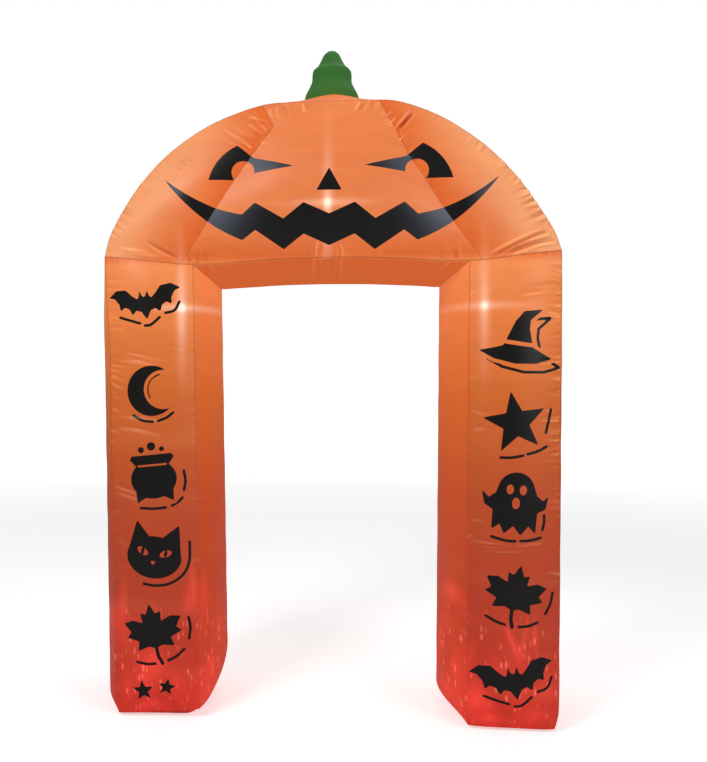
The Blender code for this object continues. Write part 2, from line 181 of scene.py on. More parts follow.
# Creases that show from a step away. A crease is a soft ridge with a trough on one side.
FRONT_CREASES = (  # x, height, run to the right, climb, half width, relief, bow
    # left column, between the prints
    (-0.86, 1.430, 0.19, -0.022, 0.0060, 0.0039, 0.015),
    (-0.85, 1.459, 0.21, -0.038, 0.0060, 0.0036, 0.015),
    (-0.84, 1.444, 0.12, -0.020, 0.0055, 0.0028, 0.010),
    (-0.66, 1.480, 0.10, -0.012, 0.0055, 0.0025, 0.010),
    (-0.87, 1.330, 0.06, -0.024, 0.0055, 0.0031, 0.010),
    (-0.87, 1.290, 0.06, -0.030, 0.0055, 0.0028, 0.010),
    (-0.86, 1.205, 0.24, -0.022, 0.0060, 0.0036, 0.012),
    (-0.86, 1.162, 0.20, -0.028, 0.0060, 0.0031, 0.012),
    (-0.88, 1.560, 0.07, -0.004, 0.0055, 0.0025, 0.000),
    (-0.86, 0.930, 0.12, -0.036, 0.0060, 0.0034, -0.020),
    (-0.85, 0.905, 0.13, -0.034, 0.0060, 0.0031, -0.020),
    (-0.85, 0.715, 0.05, -0.020, 0.0055, 0.0022, 0.000),
    (-0.85, 0.620, 0.06, -0.026, 0.0055, 0.0022, 0.000),
    # right column
    (0.73, 1.700, 0.13, 0.012, 0.0065, 0.0046, -0.020),
    (0.71, 1.674, 0.13, 0.018, 0.0065, 0.0049, -0.020),
    (0.80, 1.412, 0.07, 0.008, 0.0060, 0.0035, 0.000),
    (0.83, 1.612, 0.05, -0.010, 0.0055, 0.0032, 0.000),
    (0.83, 1.568, 0.05, -0.010, 0.0055, 0.0032, 0.000),
    (0.545, 1.230, 0.07, -0.018, 0.0055, 0.0027, 0.000),
    (0.81, 1.238, 0.06, -0.006, 0.0055, 0.0032, 0.000),
    (0.80, 1.196, 0.07, 0.004, 0.0055, 0.0032, 0.000),
    (0.545, 1.160, 0.06, 0.004, 0.0055, 0.0024, 0.000),
    (0.540, 0.732, 0.15, -0.006, 0.0052, 0.0050, -0.010),
    (0.550, 0.716, 0.16, -0.004, 0.0050, 0.0042, -0.015),
    (0.570, 0.700, 0.19, 0.006, 0.0052, 0.0036, -0.020),
    (0.640, 0.722, 0.18, 0.010, 0.0050, 0.0034, -0.020),
    (0.535, 0.812, 0.06, 0.000, 0.0055, 0.0024, 0.000),
    # over the left shoulder
    (-0.590, 1.838, -0.125, 0.070, 0.006, -0.0085, 0.02),
    (-0.640, 1.842, -0.160, 0.022, 0.007, 0.0040, 0.02),
    (-0.700, 1.862, -0.130, 0.020, 0.006, 0.0035, 0.02),
    # over the right shoulder
    (0.615, 1.822, 0.215, 0.100, 0.007, -0.0120, 0.02),
    (0.660, 1.830, 0.190, 0.070, 0.006, -0.0115, 0.03),
    (0.690, 1.828, 0.180, 0.050, 0.006, 0.0130, 0.03),
    (0.730, 1.846, 0.130, 0.022, 0.006, -0.0080, 0.02),
    (0.760, 1.884, 0.090, 0.030, 0.006, 0.0090, 0.00),
    # at the knees of the valleys
    (0.258, 2.314, 0.070, 0.078, 0.006, -0.0130, 0.00),
    (0.270, 2.312, 0.066, 0.072, 0.006, 0.0050, 0.00),
    (-0.228, 2.366, -0.100, 0.030, 0.007, 0.0040, 0.02),
    # under the stem
    (-0.108, 2.442, 0.018, -0.045, 0.006, 0.0055, 0.00),
    (0.124, 2.442, -0.024, -0.045, 0.006, 0.0055, 0.00),
    (0.140, 2.436, -0.018, -0.040, 0.005, -0.0040, 0.00),
    # over the middle of the doorway
    (-0.052, 1.826, 0.012, 0.076, 0.0046, 0.0058, 0.05),
    (-0.066, 1.824, 0.002, 0.060, 0.0046, 0.0034, 0.00),
    (-0.026, 1.826, 0.006, 0.062, 0.0046, 0.0030, -0.03),
    (0.034, 1.824, -0.004, 0.050, 0.0046, 0.0036, 0.00),
    (0.052, 1.822, -0.010, 0.066, 0.0046, 0.0052, -0.04),
    # on the left rib, past the grin's end
    (-0.600, 2.205, 0.030, -0.030, 0.005, 0.0030, 0.00),
    (-0.585, 2.222, 0.030, -0.028, 0.005, 0.0030, 0.00),
    (-0.560, 2.234, 0.022, -0.022, 0.005, 0.0025, 0.00),
)

# The same creases where they go on round the seam into the gusset over the doorway.
SOFFIT_CREASES = (  # x, depth, run to the right, run to the back, half width, relief, bow
    (-0.060, -0.262, -0.004, 0.220, 0.0060, 0.0050, 0.01),
    (-0.034, -0.262, 0.004, 0.130, 0.0060, 0.0040, 0.01),
    (0.024, -0.262, 0.000, 0.150, 0.0060, 0.0040, -0.01),
    (0.046, -0.262, 0.004, 0.280, 0.0060, 0.0048, 0.01),
    (0.470, -0.262, -0.090, 0.160, 0.0065, 0.0040, 0.03),
    (-0.480, -0.262, 0.100, 0.190, 0.0065, 0.0040, 0.02),
)

# Bunches of side by side puckers. They start along a base line and run off it alike.
BUNCHES = (  # base line from and to, run to the right, climb, count, half width, relief
    # from the left valley towards the rim, and beside its upper end
    ((-0.322, 2.238), (-0.230, 2.352), -0.120, 0.100, 8, 0.0052, 0.0058),
    ((-0.236, 2.418), (-0.165, 2.428), 0.020, -0.060, 4, 0.0052, 0.0055),
    ((-0.225, 2.335), (-0.255, 2.300), 0.050, 0.030, 3, 0.0052, 0.0040),
    # along the right valley, on both sides
    ((0.263, 2.300), (0.306, 2.226), 0.046, 0.060, 6, 0.0052, 0.0052),
    ((0.206, 2.408), (0.246, 2.322), -0.044, -0.020, 5, 0.0050, 0.0055),
    ((0.216, 2.402), (0.250, 2.340), 0.030, 0.034, 5, 0.0050, 0.0045),
    ((0.168, 2.432), (0.208, 2.430), -0.014, -0.055, 3, 0.0050, 0.0045),
    # inside the right rim
    ((0.845, 1.968), (0.772, 2.098), -0.088, -0.034, 8, 0.0056, 0.0105),
    ((0.760, 2.112), (0.690, 2.192), -0.052, -0.040, 5, 0.0052, 0.0075),
    ((0.625, 2.238), (0.560, 2.290), -0.030, -0.042, 4, 0.0050, 0.0050),
    # inside the left rim
    ((-0.858, 1.945), (-0.800, 2.058), 0.052, -0.045, 7, 0.0052, 0.0062),
    ((-0.770, 2.098), (-0.700, 2.180), 0.040, -0.035, 4, 0.0050, 0.0045),
    # from the seam under the head, beside the doorway's corners
    ((-0.562, 1.826), (-0.470, 1.826), 0.000, 0.078, 5, 0.0050, 0.0050),
    ((0.430, 1.826), (0.520, 1.826), -0.008, 0.068, 5, 0.0050, 0.0050),
    # off the columns' outer seams
    ((-0.868, 1.760), (-0.872, 1.560), 0.080, -0.012, 8, 0.0055, 0.0036),
    ((-0.866, 1.420), (-0.862, 1.220), 0.085, -0.026, 9, 0.0055, 0.0046),
    ((0.882, 1.800), (0.878, 1.560), -0.065, 0.004, 12, 0.0052, 0.0062),
    ((0.880, 1.540), (0.874, 1.290), -0.060, -0.008, 11, 0.0052, 0.0064),
    ((0.872, 1.230), (0.866, 1.020), -0.065, -0.006, 9, 0.0052, 0.0064),
)


# Curves and profiles

def crown(t):
    """One at the middle of a panel and nothing at its two seams, t from -1 to 1: a parabola."""
    return 1.0 - t * t


def ease(t):
    """From 0 to 1 with level ends, for t from 0 to 1: the smooth step of third degree."""
    return t * t * (3 - 2 * t)


def head_lean(x, z):
    """How far a point of the head is moved to the left: both shoulders are, a little."""
    over = np.clip((np.abs(x) - LEAN_FROM) / LEAN_REACH, 0.0, 1.0)
    moved = 0.0
    for sign, (lean, low, high) in HEAD_LEAN.items():
        share = np.clip((z - low) / (high - low), 0.0, 1.0) * (x * sign > 0)
        moved = moved + lean * ease(over) * ease(share)
    return moved


def widened(x, z):
    """Moves the outer edge of the left half outwards, from the top of its column upwards, and
    the head's shoulders to the left."""
    edge = np.clip((-x - 0.5) / (OUTER - 0.5), 0.0, 1.2)
    moved = WIDER * edge * np.clip((z - WIDER_FROM) / (SHOULDER - WIDER_FROM), 0.0, 1.0)
    return x - moved - head_lean(x, z)


def settle(distance, reach):
    """Rises from 0 at a seam to 1 at the given reach, steep first and then level."""
    left = np.clip(1.0 - distance / reach, 0.0, 1.0)
    return 1.0 - left * left


def smooth_curve(points, samples_per_span=16):
    """A Catmull-Rom curve through the points, as an array of closely spaced points."""
    p = np.array(points, float)
    before = 2 * p[0] - p[1]
    after = 2 * p[-1] - p[-2]
    p = np.vstack([before, p, after])
    t = np.linspace(0.0, 1.0, samples_per_span, endpoint=False)[:, None]
    spans = [
        0.5 * (2 * p1 + (p2 - p0) * t + (2 * p0 - 5 * p1 + 4 * p2 - p3) * t**2
               + (3 * p1 - p0 - 3 * p2 + p3) * t**3)
        for p0, p1, p2, p3 in zip(p, p[1:], p[2:], p[3:])
    ]
    return np.vstack(spans + [p[-2]])


def run_along(curve):
    """Length of a curve up to each of its points."""
    steps = np.hypot(*np.diff(curve, axis=0).T)
    return np.concatenate([[0.0], np.cumsum(steps)])


def along(curve, shares):
    """Points of a curve at the given shares of its length."""
    run = run_along(curve)
    at = np.asarray(shares) * run[-1]
    return np.stack([np.interp(at, run, curve[:, 0]), np.interp(at, run, curve[:, 1])], axis=-1)


def distance_to(curve, x, z):
    """Distance of each point (x, z) from a curve given by its points."""
    nearest = np.full(np.shape(x), np.inf)
    for (x0, z0), (dx, dz) in zip(curve[:-1], np.diff(curve, axis=0)):
        if dx == 0.0 and dz == 0.0:
            continue
        share = np.clip(((x - x0) * dx + (z - z0) * dz) / (dx * dx + dz * dz), 0.0, 1.0)
        gap = np.hypot(x - x0 - share * dx, z - z0 - share * dz)
        nearest = np.minimum(nearest, gap)
    return nearest


def unit(vector):
    return vector / np.hypot(*vector)


def outward(curve):
    """Unit vectors square to a curve of (x, z) points, on its left as it is followed."""
    run = np.gradient(curve, axis=0)
    run /= np.hypot(*run.T)[:, None]
    return np.stack([-run[:, 1], run[:, 0]], axis=-1)


RIM_CURVE = smooth_curve(RIM)
COARSE_RIM = smooth_curve(RIM, 4)
OUTER = RIM[-1][0]      # centre line to the outer edge seam, at the shoulder


def rim_height(out):
    """Height of the rim at a distance from the centre line."""
    return np.interp(out, RIM_CURVE[:, 0], RIM_CURVE[:, 1])


def rim_share(out):
    """Share of the rim's length, from the crown, at a distance from the centre line."""
    run = run_along(RIM_CURVE)
    return float(np.interp(out, RIM_CURVE[:, 0], run / run[-1]))


def valley_of(side):
    """The valley of one half: its foot, its knee and its top on the rim."""
    top = (side["valley_top"], float(rim_height(side["valley_top"])))
    return np.array([(FOOT_OF_VALLEY, HEADER_SEAM), side["knee"], top])


def header_height(out):
    """Height of the seam under the head: level at the corners, climbing to the shoulder and,
    as a parabola, over the middle of the doorway."""
    shoulder = np.clip((out - FOOT_OF_VALLEY) / (OUTER - FOOT_OF_VALLEY), 0.0, 1.1)
    middle = np.clip(1.0 - (out / HEADER_FLAT) ** 2, 0.0, None)
    return HEADER_SEAM + (SHOULDER - HEADER_SEAM) * shoulder + HEADER_RISE * middle


def across_column(out):
    """Place across a column, from -1 at the doorway's seam to 1 at the outer one."""
    return 2.0 * (out - INNER) / (OUTER - INNER) - 1.0


def header_swell(out):
    """How far the seam under the head stands in front of the frame line: two parabolas, one
    over the column and one over the doorway, with the corner seams pinched between them."""
    over_column = SEAM_SWELL * np.clip(crown(across_column(out)), 0.0, None)
    over_door = HEADER_SWELL * np.clip(crown(out / HEADER_FLAT), 0.0, None)
    return np.where(out > INNER, over_column, over_door)


def head_swell(side, out, height):
    """The head's crown: full away from the rim and from the seam below it, and drawn in along
    the valley between two ribs."""
    from_rim = distance_to(COARSE_RIM, out, height)
    from_seam = np.clip(height - header_height(out), 0.0, None)
    from_valley = distance_to(valley_of(side), out, height)
    pinch = np.clip(1.0 - from_valley / VALLEY_WIDTH, 0.0, 1.0) ** 2
    rise = settle(from_seam, SEAM_REACH)
    full = HEAD_SWELL * settle(from_rim, RIM_REACH) * (1.0 - VALLEY_PINCH * pinch)
    return header_swell(out) * (1.0 - rise) + full * rise


# Folds

def add_folds(relief, x, z, folds, from_seam):
    """Adds ridges to a relief. Each is a sharp ridge with a shallower trough beside it along a
    slightly bowed line: strongest at its start if it leaves a seam, else at its middle."""
    for x0, z0, dx, dz, width, height, bow in folds:
        length = math.hypot(dx, dz)
        reach = length + 4.0 * width
        near = np.nonzero((np.abs(x - x0) < reach) & (np.abs(z - z0) < reach))[0]
        u = ((x[near] - x0) * dx + (z[near] - z0) * dz) / length**2
        p = ((z[near] - z0) * dx - (x[near] - x0) * dz) / length
        inside = np.clip(u, 0.0, 1.0)
        p = p - bow * 4.0 * inside * (1.0 - inside) * length
        beyond = (u - inside) * length / width
        if from_seam:
            taper = (1.0 - inside) ** 1.1 * np.exp(-beyond**2)
        else:
            taper = np.sin(math.pi * inside) ** 0.6
        ridge = np.exp(-np.abs(p / width) ** 1.5)
        trough = np.exp(-np.abs((p - 1.8 * width) / width) ** 1.5)
        relief[near] += FOLD_RELIEF * height * taper * (ridge - 0.7 * trough)
    return relief


def seam_folds(curve, inward, puckers, seed):
    """Puckers along a seam: short folds that leave it about square, in loose bunches, unevenly
    spaced and long. The curve is followed with the cloth on the side that inward (1 left,
    -1 right) says."""
    spacing, reach, height, skip = puckers
    rng = np.random.default_rng(seed)
    run = run_along(curve)
    count = int(run[-1] / spacing)
    at = (np.arange(count) + rng.uniform(0.1, 0.9, count)) * spacing / run[-1]
    at = at[rng.random(count) >= skip]
    bunch = 0.62 + 0.38 * np.sin(at * run[-1] * 21.0 + rng.uniform(0.0, 6.28))
    start = along(curve, at)
    ahead = along(curve, np.clip(at + 0.002, 0.0, 1.0)) - along(curve, np.clip(at - 0.002, 0, 1))
    heading = np.arctan2(ahead[:, 1], ahead[:, 0]) + inward * math.pi / 2
    heading += rng.normal(0.0, 0.22, len(at))
    length = reach * rng.uniform(0.35, 1.0, len(at)) ** 1.3 * (0.5 + 0.5 * bunch)
    size = height * bunch * rng.uniform(0.35, 1.0, len(at)) * rng.choice([-0.8, 1.0], len(at))
    width = spacing * rng.uniform(0.20, 0.32, len(at))
    bow = rng.uniform(-0.08, 0.08, len(at))
    return np.stack([start[:, 0], start[:, 1], length * np.cos(heading),
                     length * np.sin(heading), width, size, bow], axis=-1)


def pucker(relief, x, z, seam, inward, puckers, seed):
    """Adds the puckers along a seam to a relief."""
    add_folds(relief, x, z, seam_folds(seam, inward, puckers, seed), True)


def bunch_folds():
    """The folds of the bunches, each a little off its even place, length and heading."""
    rng = np.random.default_rng(77)
    folds = []
    for start, end, run, climb, count, width, height in BUNCHES:
        share = (np.arange(count) + rng.uniform(0.15, 0.85, count))[:, None] / count
        place = np.array(start) * (1 - share) + np.array(end) * share
        length = rng.uniform(0.55, 1.15, count)
        tilt = rng.normal(0.0, 0.07, count)
        folds += [
            (px, pz, stretch * (run - turn * climb), stretch * (climb + turn * run), width,
             height * size * sign, bow)
            for (px, pz), stretch, turn, size, sign, bow in zip(
                place, length, tilt, rng.uniform(0.6, 1.1, count),
                rng.choice([-0.9, 1.0], count), rng.uniform(-0.06, 0.06, count))
        ]
    return folds


def placed_folds(relief, x, z):
    """Adds the creases and the bunches that show on the front to a relief."""
    add_folds(relief, x, z, FRONT_CREASES, False)
    add_folds(relief, x, z, bunch_folds(), True)


def billow(x, z, waves, seed):
    """Slow unevenness of the cloth: a sum of plane waves about as long as given each way."""
    amplitude, across, up = waves
    rng = np.random.default_rng(seed)
    total = np.zeros(np.shape(x))
    for _ in range(7):
        lean = rng.uniform(-1.0, 1.0)
        pace = rng.uniform(0.6, 1.6)
        total += np.sin(2 * math.pi * pace * (lean * x / across + z / up) + rng.uniform(0, 6.28))
    return amplitude * total / 7


# Print

def polygon_distance(x, z, points):
    """Signed distance from a closed outline, negative inside."""
    p = np.asarray(points, float)
    edge = distance_to(np.vstack([p, p[:1]]), x, z)
    inside = np.zeros(np.shape(x), bool)
    for (x0, z0), (x1, z1) in zip(p, np.roll(p, -1, axis=0)):
        crosses = (z0 > z) != (z1 > z)
        rise = z1 - z0 if z1 != z0 else 1e-12
        inside ^= crosses & (x < x0 + (z - z0) * (x1 - x0) / rise)
    return np.where(inside, -edge, edge)


def disc(x, z, cx, cz, radius, flat=1.0):
    """Signed distance from a disc, squashed upright by flat."""
    return (np.hypot(x - cx, (z - cz) / flat) - radius) * min(flat, 1.0)


def stroke(x, z, points, half_width):
    """Signed distance from a line of even width with round ends."""
    return distance_to(np.asarray(points, float), x, z) - half_width


def mirrored(half):
    """A closed outline from its right half, given from the top down."""
    half = list(half)
    return half + [(-x, z) for x, z in reversed(half)]


def star(x, z):
    """A five-pointed star, its points on two circles."""
    turn = math.pi / 2 + np.arange(10) * math.pi / 5
    radius = np.where(np.arange(10) % 2 == 0, 1.0, 0.42)
    return polygon_distance(x, z, np.stack([radius * np.cos(turn), radius * np.sin(turn)], -1))


def moon(x, z):
    """A crescent: a disc less a smaller one beside it."""
    return np.maximum(disc(x, z, 0.0, 0.0, 0.95), -disc(x, z, 0.42, 0.16, 0.74))


def bat(x, z):
    """A bat with spread, scalloped wings."""
    half = [(0.0, 0.24), (0.07, 0.30), (0.13, 0.50), (0.19, 0.26), (0.26, 0.20), (0.42, 0.34),
            (0.62, 0.58), (0.98, 0.62), (1.30, 0.42), (1.08, 0.34), (0.94, 0.12), (0.92, -0.12),
            (0.74, -0.02), (0.58, -0.12), (0.50, -0.34), (0.34, -0.20), (0.17, -0.26),
            (0.0, -0.56)]
    return polygon_distance(x, z, mirrored(half))


def leaf(x, z):
    """A five-lobed leaf with a stalk."""
    half = [(0.0, 1.0), (0.16, 0.66), (0.34, 0.72), (0.30, 0.40), (0.62, 0.52), (0.94, 0.44),
            (0.74, 0.14), (0.90, -0.02), (0.52, -0.16), (0.60, -0.46), (0.22, -0.36),
            (0.06, -0.42)]
    stalk = stroke(x, z, [(0.0, -0.3), (0.03, -0.7), (0.12, -0.95)], 0.055)
    return np.minimum(polygon_distance(x, z, mirrored(half)), stalk)


def cat(x, z):
    """A cat's head: a broad disc with two ears, slanting eyes and a small nose left open."""
    head = disc(x, z, 0.0, -0.12, 0.90, 0.76)
    for side in (-1, 1):
        ear = [(0.14 * side, 0.44), (0.68 * side, 0.96), (0.84 * side, 0.06)]
        head = np.minimum(head, polygon_distance(x, z, ear) - 0.02)
    for side in (-1, 1):
        tilted = z - 0.30 * side * (x - 0.38 * side)
        eye = disc(x, tilted, 0.38 * side, 0.04, 0.19, 0.62)
        pupil = disc(x, tilted, 0.38 * side, 0.04, 0.055, 2.0)
        head = np.maximum(head, -np.maximum(eye, -pupil))
    nose = polygon_distance(x, z, [(-0.10, -0.24), (0.10, -0.24), (0.0, -0.38)])
    return np.maximum(head, -nose)


def cauldron(x, z):
    """A round cauldron with a wide rim, two feet and three bubbles over it."""
    body = disc(x, z, 0.0, -0.22, 0.82, 0.84)
    rim = [(-0.66, 0.34), (-0.80, 0.52), (-0.72, 0.64), (0.72, 0.64), (0.80, 0.52), (0.66, 0.34),
           (0.52, 0.20), (-0.52, 0.20)]
    body = np.minimum(body, polygon_distance(x, z, rim))
    for side in (-1, 1):
        foot = [(0.24 * side, -0.80), (0.66 * side, -0.62), (0.64 * side, -1.02)]
        body = np.minimum(body, polygon_distance(x, z, foot) - 0.01)
    gap = stroke(x, z, [(-0.50, 0.27), (0.50, 0.27)], 0.035)
    body = np.maximum(body, -gap)
    for cx, cz, radius in ((-0.34, 0.84, 0.11), (0.04, 0.94, 0.15), (0.40, 0.82, 0.09)):
        body = np.minimum(body, disc(x, z, cx, cz, radius))
    return body


def hat(x, z):
    """A bent pointed hat with an open band."""
    outline = [(-1.05, -0.52), (-0.62, -0.40), (-0.40, -0.32), (-0.12, 0.42), (0.10, 0.74),
               (0.62, 0.84), (0.30, 0.50), (0.30, 0.22), (0.46, -0.32), (0.68, -0.42),
               (1.05, -0.58), (0.60, -0.76), (0.0, -0.82), (-0.62, -0.72)]
    band = polygon_distance(x, z, [(-0.37, -0.26), (-0.33, -0.14), (0.43, -0.18), (0.45, -0.30)])
    return np.maximum(polygon_distance(x, z, outline) - 0.01, -band)


def ghost(x, z):
    """A ghost: a round head on a body with a ragged hem, two arms, eyes and an open mouth."""
    outline = [(0.54, 0.52), (0.62, 0.28), (0.86, 0.10), (0.98, 0.26), (0.92, -0.10),
               (0.66, -0.24), (0.64, -0.86), (0.42, -0.64), (0.20, -0.94), (-0.04, -0.66),
               (-0.30, -0.92), (-0.44, -0.62), (-0.66, -0.80), (-0.66, -0.22), (-0.92, -0.06),
               (-1.0, 0.30), (-0.82, 0.12), (-0.60, 0.30), (-0.54, 0.52)]
    body = np.minimum(polygon_distance(x, z, outline) - 0.02, disc(x, z, 0.0, 0.42, 0.56))
    for cx, cz, radius, flat in ((-0.20, 0.44, 0.11, 1.4), (0.20, 0.44, 0.11, 1.4),
                                 (0.0, 0.02, 0.12, 1.5)):
        body = np.maximum(body, -disc(x, z, cx, cz, radius, flat))
    return body


BAT_LINES = (
    ((-0.98, -0.34), (-0.64, -0.50), (-0.28, -0.66)),
    ((-0.12, -0.76), (0.10, -0.76), (0.44, -0.54)),
    ((0.66, -0.42), (0.98, -0.36), (1.18, -0.08)),
)
LEAF_LINES = (
    ((-0.70, -0.80), (-0.36, -0.90), (-0.04, -0.92)),
    ((0.28, -0.90), (0.60, -0.80), (0.86, -0.64)),
    ((1.06, -0.34), (1.16, 0.00), (1.16, 0.34)),
)
STAR_LINES = (
    ((-0.62, -1.00), (-0.30, -1.05), (0.06, -1.04)),
    ((0.20, -1.02), (0.52, -0.98), (0.84, -0.88)),
    ((0.88, -0.46), (1.04, -0.06), (1.16, 0.24)),
)
GHOST_LINES = (
    ((-0.66, -1.08), (-0.24, -1.16), (0.06, -1.16)),
    ((0.22, -1.14), (0.52, -1.10), (0.84, -1.00)),
    ((0.88, -0.76), (0.92, -0.52), (0.90, -0.28)),
)
POT_LINES = (
    ((-0.56, -1.20), (-0.10, -1.26), (0.34, -1.26)),
    ((0.56, -1.22), (0.78, -1.12), (0.94, -0.98)),
    ((1.02, -0.72), (1.10, -0.40), (1.08, -0.04)),
)
MOON_LINES = (
    ((-0.46, -1.08), (-0.06, -1.17), (0.34, -1.12)),
    ((0.52, -1.04), (0.80, -0.84), (0.98, -0.60)),
    ((0.12, 0.69), (-0.11, 0.47), (-0.19, 0.16), (-0.11, -0.15), (-0.01, -0.27)),
)
CAT_LINES = (
    ((-0.22, -1.02), (0.18, -1.02), (0.58, -0.92), (0.90, -0.70), (1.09, -0.42),
     (1.15, -0.08), (1.12, 0.24), (1.08, 0.50)),
)
MOTIFS = (  # drawing, x, height, scale, turn in degrees, its second line: a drawing or strokes
    (bat, -0.722, 1.655, 0.112, 8, BAT_LINES),
    (moon, -0.700, 1.310, 0.105, -14, MOON_LINES),
    (cauldron, -0.695, 0.985, 0.112, 6, POT_LINES),
    (cat, -0.690, 0.665, 0.122, -7, CAT_LINES),
    (leaf, -0.690, 0.345, 0.124, 10, LEAF_LINES),
    (star, -0.735, 0.118, 0.046, 8, None),
    (star, -0.640, 0.136, 0.038, -12, None),
    (hat, 0.715, 1.520, 0.128, -6, hat),
    (star, 0.705, 1.190, 0.122, 9, STAR_LINES),
    (ghost, 0.705, 0.882, 0.122, -4, GHOST_LINES),
    (leaf, 0.700, 0.530, 0.122, -12, LEAF_LINES),
    (bat, 0.700, 0.205, 0.122, 10, BAT_LINES),
)
SHADOW_SHIFT = (0.030, -0.032)   # of a motif's thin second line
SHADOW_HALF_WIDTH = 0.0054
SHADOW_CLEAR = 0.014             # bare cloth between a motif and that line
PRINT_FAR = 0.05                 # distance given to cloth well clear of any print


def motif_distance(x, z, drawing, cx, cz, scale, turn):
    """Signed distance from a motif that stands at (cx, cz), scaled and turned."""
    c, s = math.cos(math.radians(turn)), math.sin(math.radians(turn))
    u, v = (x - cx) / scale, (z - cz) / scale
    return np.minimum(drawing(c * u + s * v, -s * u + c * v) * scale, PRINT_FAR)


def strokes_of(lines):
    """A drawing made of thin strokes: the distance from the nearest of them."""
    def drawing(x, z):
        return np.minimum.reduce([distance_to(smooth_curve(line, 5), x, z) for line in lines])
    return drawing


# The jack-o'-lantern face, in metres from the head's own centre.
FACE_CENTRE = (0.0, 2.06)
FACE_TILT = 0.013                  # how much the print slopes down to the right
EYE_OUTER = (0.470, 0.069)
EYE_TOP = (0.358, 0.207)
EYE_NECK = (0.292, 0.155)
EYE_TIP = (0.134, 0.114)
EYE_INNER = (0.288, 0.092)
EYE_BOW = (0.016, 0.012)           # how far its outer side bows out at the middle
PUPIL = (0.334, 0.099, 0.045)      # x, height, radius of the round bite
NOSE_TOP = 0.104
NOSE_BASE = 0.018
NOSE_HALF = 0.048
GRIN_HALF = 0.652
GRIN_TIP = 0.088                   # height of the grin's ends
GRIN_LOW = -0.166                  # height of its lower edge, but for the teeth
GRIN_THICK = 0.116
GRIN_CURL = 3.3                    # powers of the curves that its two edges follow
GRIN_TAPER = 2.6
TEETH = (                          # corners of the zigzag: distance from the middle, swing
    (0.000, -0.018),
    (0.098, 0.024),
    (0.176, -0.036),
    (0.286, 0.022),
    (0.338, -0.027),
)


def grin_edge(x):
    """Heights of the grin's lower and upper edges before the teeth: level in the middle and
    curving up to a point at each end."""
    share = np.abs(x) / GRIN_HALF
    lower = GRIN_LOW + (GRIN_TIP - GRIN_LOW) * share**GRIN_CURL
    return lower, lower + GRIN_THICK * (1.0 - share**GRIN_TAPER)


def face_outlines():
    """The outlines of the right eye, the nose and the grin. An eye is a slanting wedge with a
    bowed outer side, its inner end drawn out to a spike."""
    bow = np.linspace(0.0, 1.0, 9)[:, None]
    outer, top = np.array(EYE_OUTER), np.array(EYE_TOP)
    side = outer * (1 - bow) + top * bow + np.array(EYE_BOW) * 4 * bow * (1 - bow)
    base = (PUPIL[0], EYE_OUTER[1])
    eye = np.vstack([side, [EYE_NECK], [EYE_TIP], [EYE_INNER], [base]])
    nose = np.array([(0.0, NOSE_TOP), (NOSE_HALF, NOSE_BASE), (-NOSE_HALF, NOSE_BASE)])
    half, swing = np.array(TEETH).T
    sweep = np.linspace(half[-1], GRIN_HALF, 14)[1:]
    x = np.concatenate([-sweep[::-1], -half[:0:-1], half, sweep])
    fading = swing[-1] * np.linspace(1.0, 0.0, 14)[1:]
    swing = np.concatenate([fading[::-1], swing[:0:-1], swing, fading])
    lower, upper = grin_edge(x)
    below = np.stack([x, lower + swing], axis=-1)
    above = np.stack([x, upper + swing], axis=-1)
    return eye, nose, np.vstack([below, above[::-1]])


def face_distance(x, z):
    """Signed distance from the face's print."""
    x, z = x - FACE_CENTRE[0], z - FACE_CENTRE[1] + FACE_TILT * x
    eye, nose, grin = face_outlines()
    out = np.abs(x)
    bite = disc(out, z, *PUPIL)
    eyes = np.maximum(polygon_distance(out, z, eye), -bite)
    return np.minimum(np.minimum(eyes, polygon_distance(x, z, nose)),
                      polygon_distance(x, z, grin))


def print_distances(x, z, front):
    """Signed distances from the nearest print on the front of the arch and from the same motifs
    moved aside, whose outlines are the thin second lines."""
    ink = np.full(len(x), PRINT_FAR)
    line = np.full(len(x), PRINT_FAR)
    on_head = np.nonzero(front & (z > HEADER_SEAM) & (np.abs(x) < 0.75))[0]
    ink[on_head] = np.minimum(face_distance(x[on_head], z[on_head]), PRINT_FAR)
    for drawing, cx, cz, scale, turn, second in MOTIFS:
        near = front & (np.abs(x - cx) < 1.7 * scale) & (np.abs(z - cz) < 1.7 * scale)
        near = np.nonzero(near)[0]
        place = (cx, cz, scale, turn)
        ink[near] = np.minimum(ink[near], motif_distance(x[near], z[near], drawing, *place))
        if callable(second):
            aside = x[near] - SHADOW_SHIFT[0], z[near] - SHADOW_SHIFT[1]
            line[near] = np.minimum(line[near], motif_distance(*aside, second, *place))
        elif second:
            strokes = motif_distance(x[near], z[near], strokes_of(second), *place)
            line[near] = np.minimum(line[near], strokes)
    return ink, line


# Light of the lamps inside

SPOT = (0.90, 0.012, 0.016)        # strength, half width, half height of a lamp's hot spot
UPRIGHT = (0.36, 0.017, 0.16)      # the same of its upright streak
LEVEL = (0.30, 0.12, 0.014)        # and of its level one
LAMP_BEHIND = 0.5                  # share of that light on the back
LICK_LIGHT = 0.78                  # share of the full red light that a lick of strength 1 gives
LICK_TAPER = 0.45                  # how much narrower a lick is half its height further up
MOUND_SHADE = 0.6                  # how far the mound under the stem takes the soffit's painted shade
GUSSET_PALE = 0.62                 # how much the lamps pale the head's outer gusset, at its top
GUSSET_PALE_FROM = 1.6             # height at which that starts
GUSSET_PALE_OVER = 0.7             # and over which it grows
RIB_PALE = 1.05                    # and an outer rib, away from its valley
RIB_PALE_REACH = 0.25
MIDDLE_PALE = 0.38                 # and the middle rib
MIDDLE_DARK = 0.34                 # what it loses of that towards the doorway
MIDDLE_DARK_FROM = 1.93            # height at which it starts to
MIDDLE_GLOW = 0.10                 # light over the middle of the doorway
SHEEN_WIDTH = 0.11                 # reach of the print's painted grey reflection beside a valley
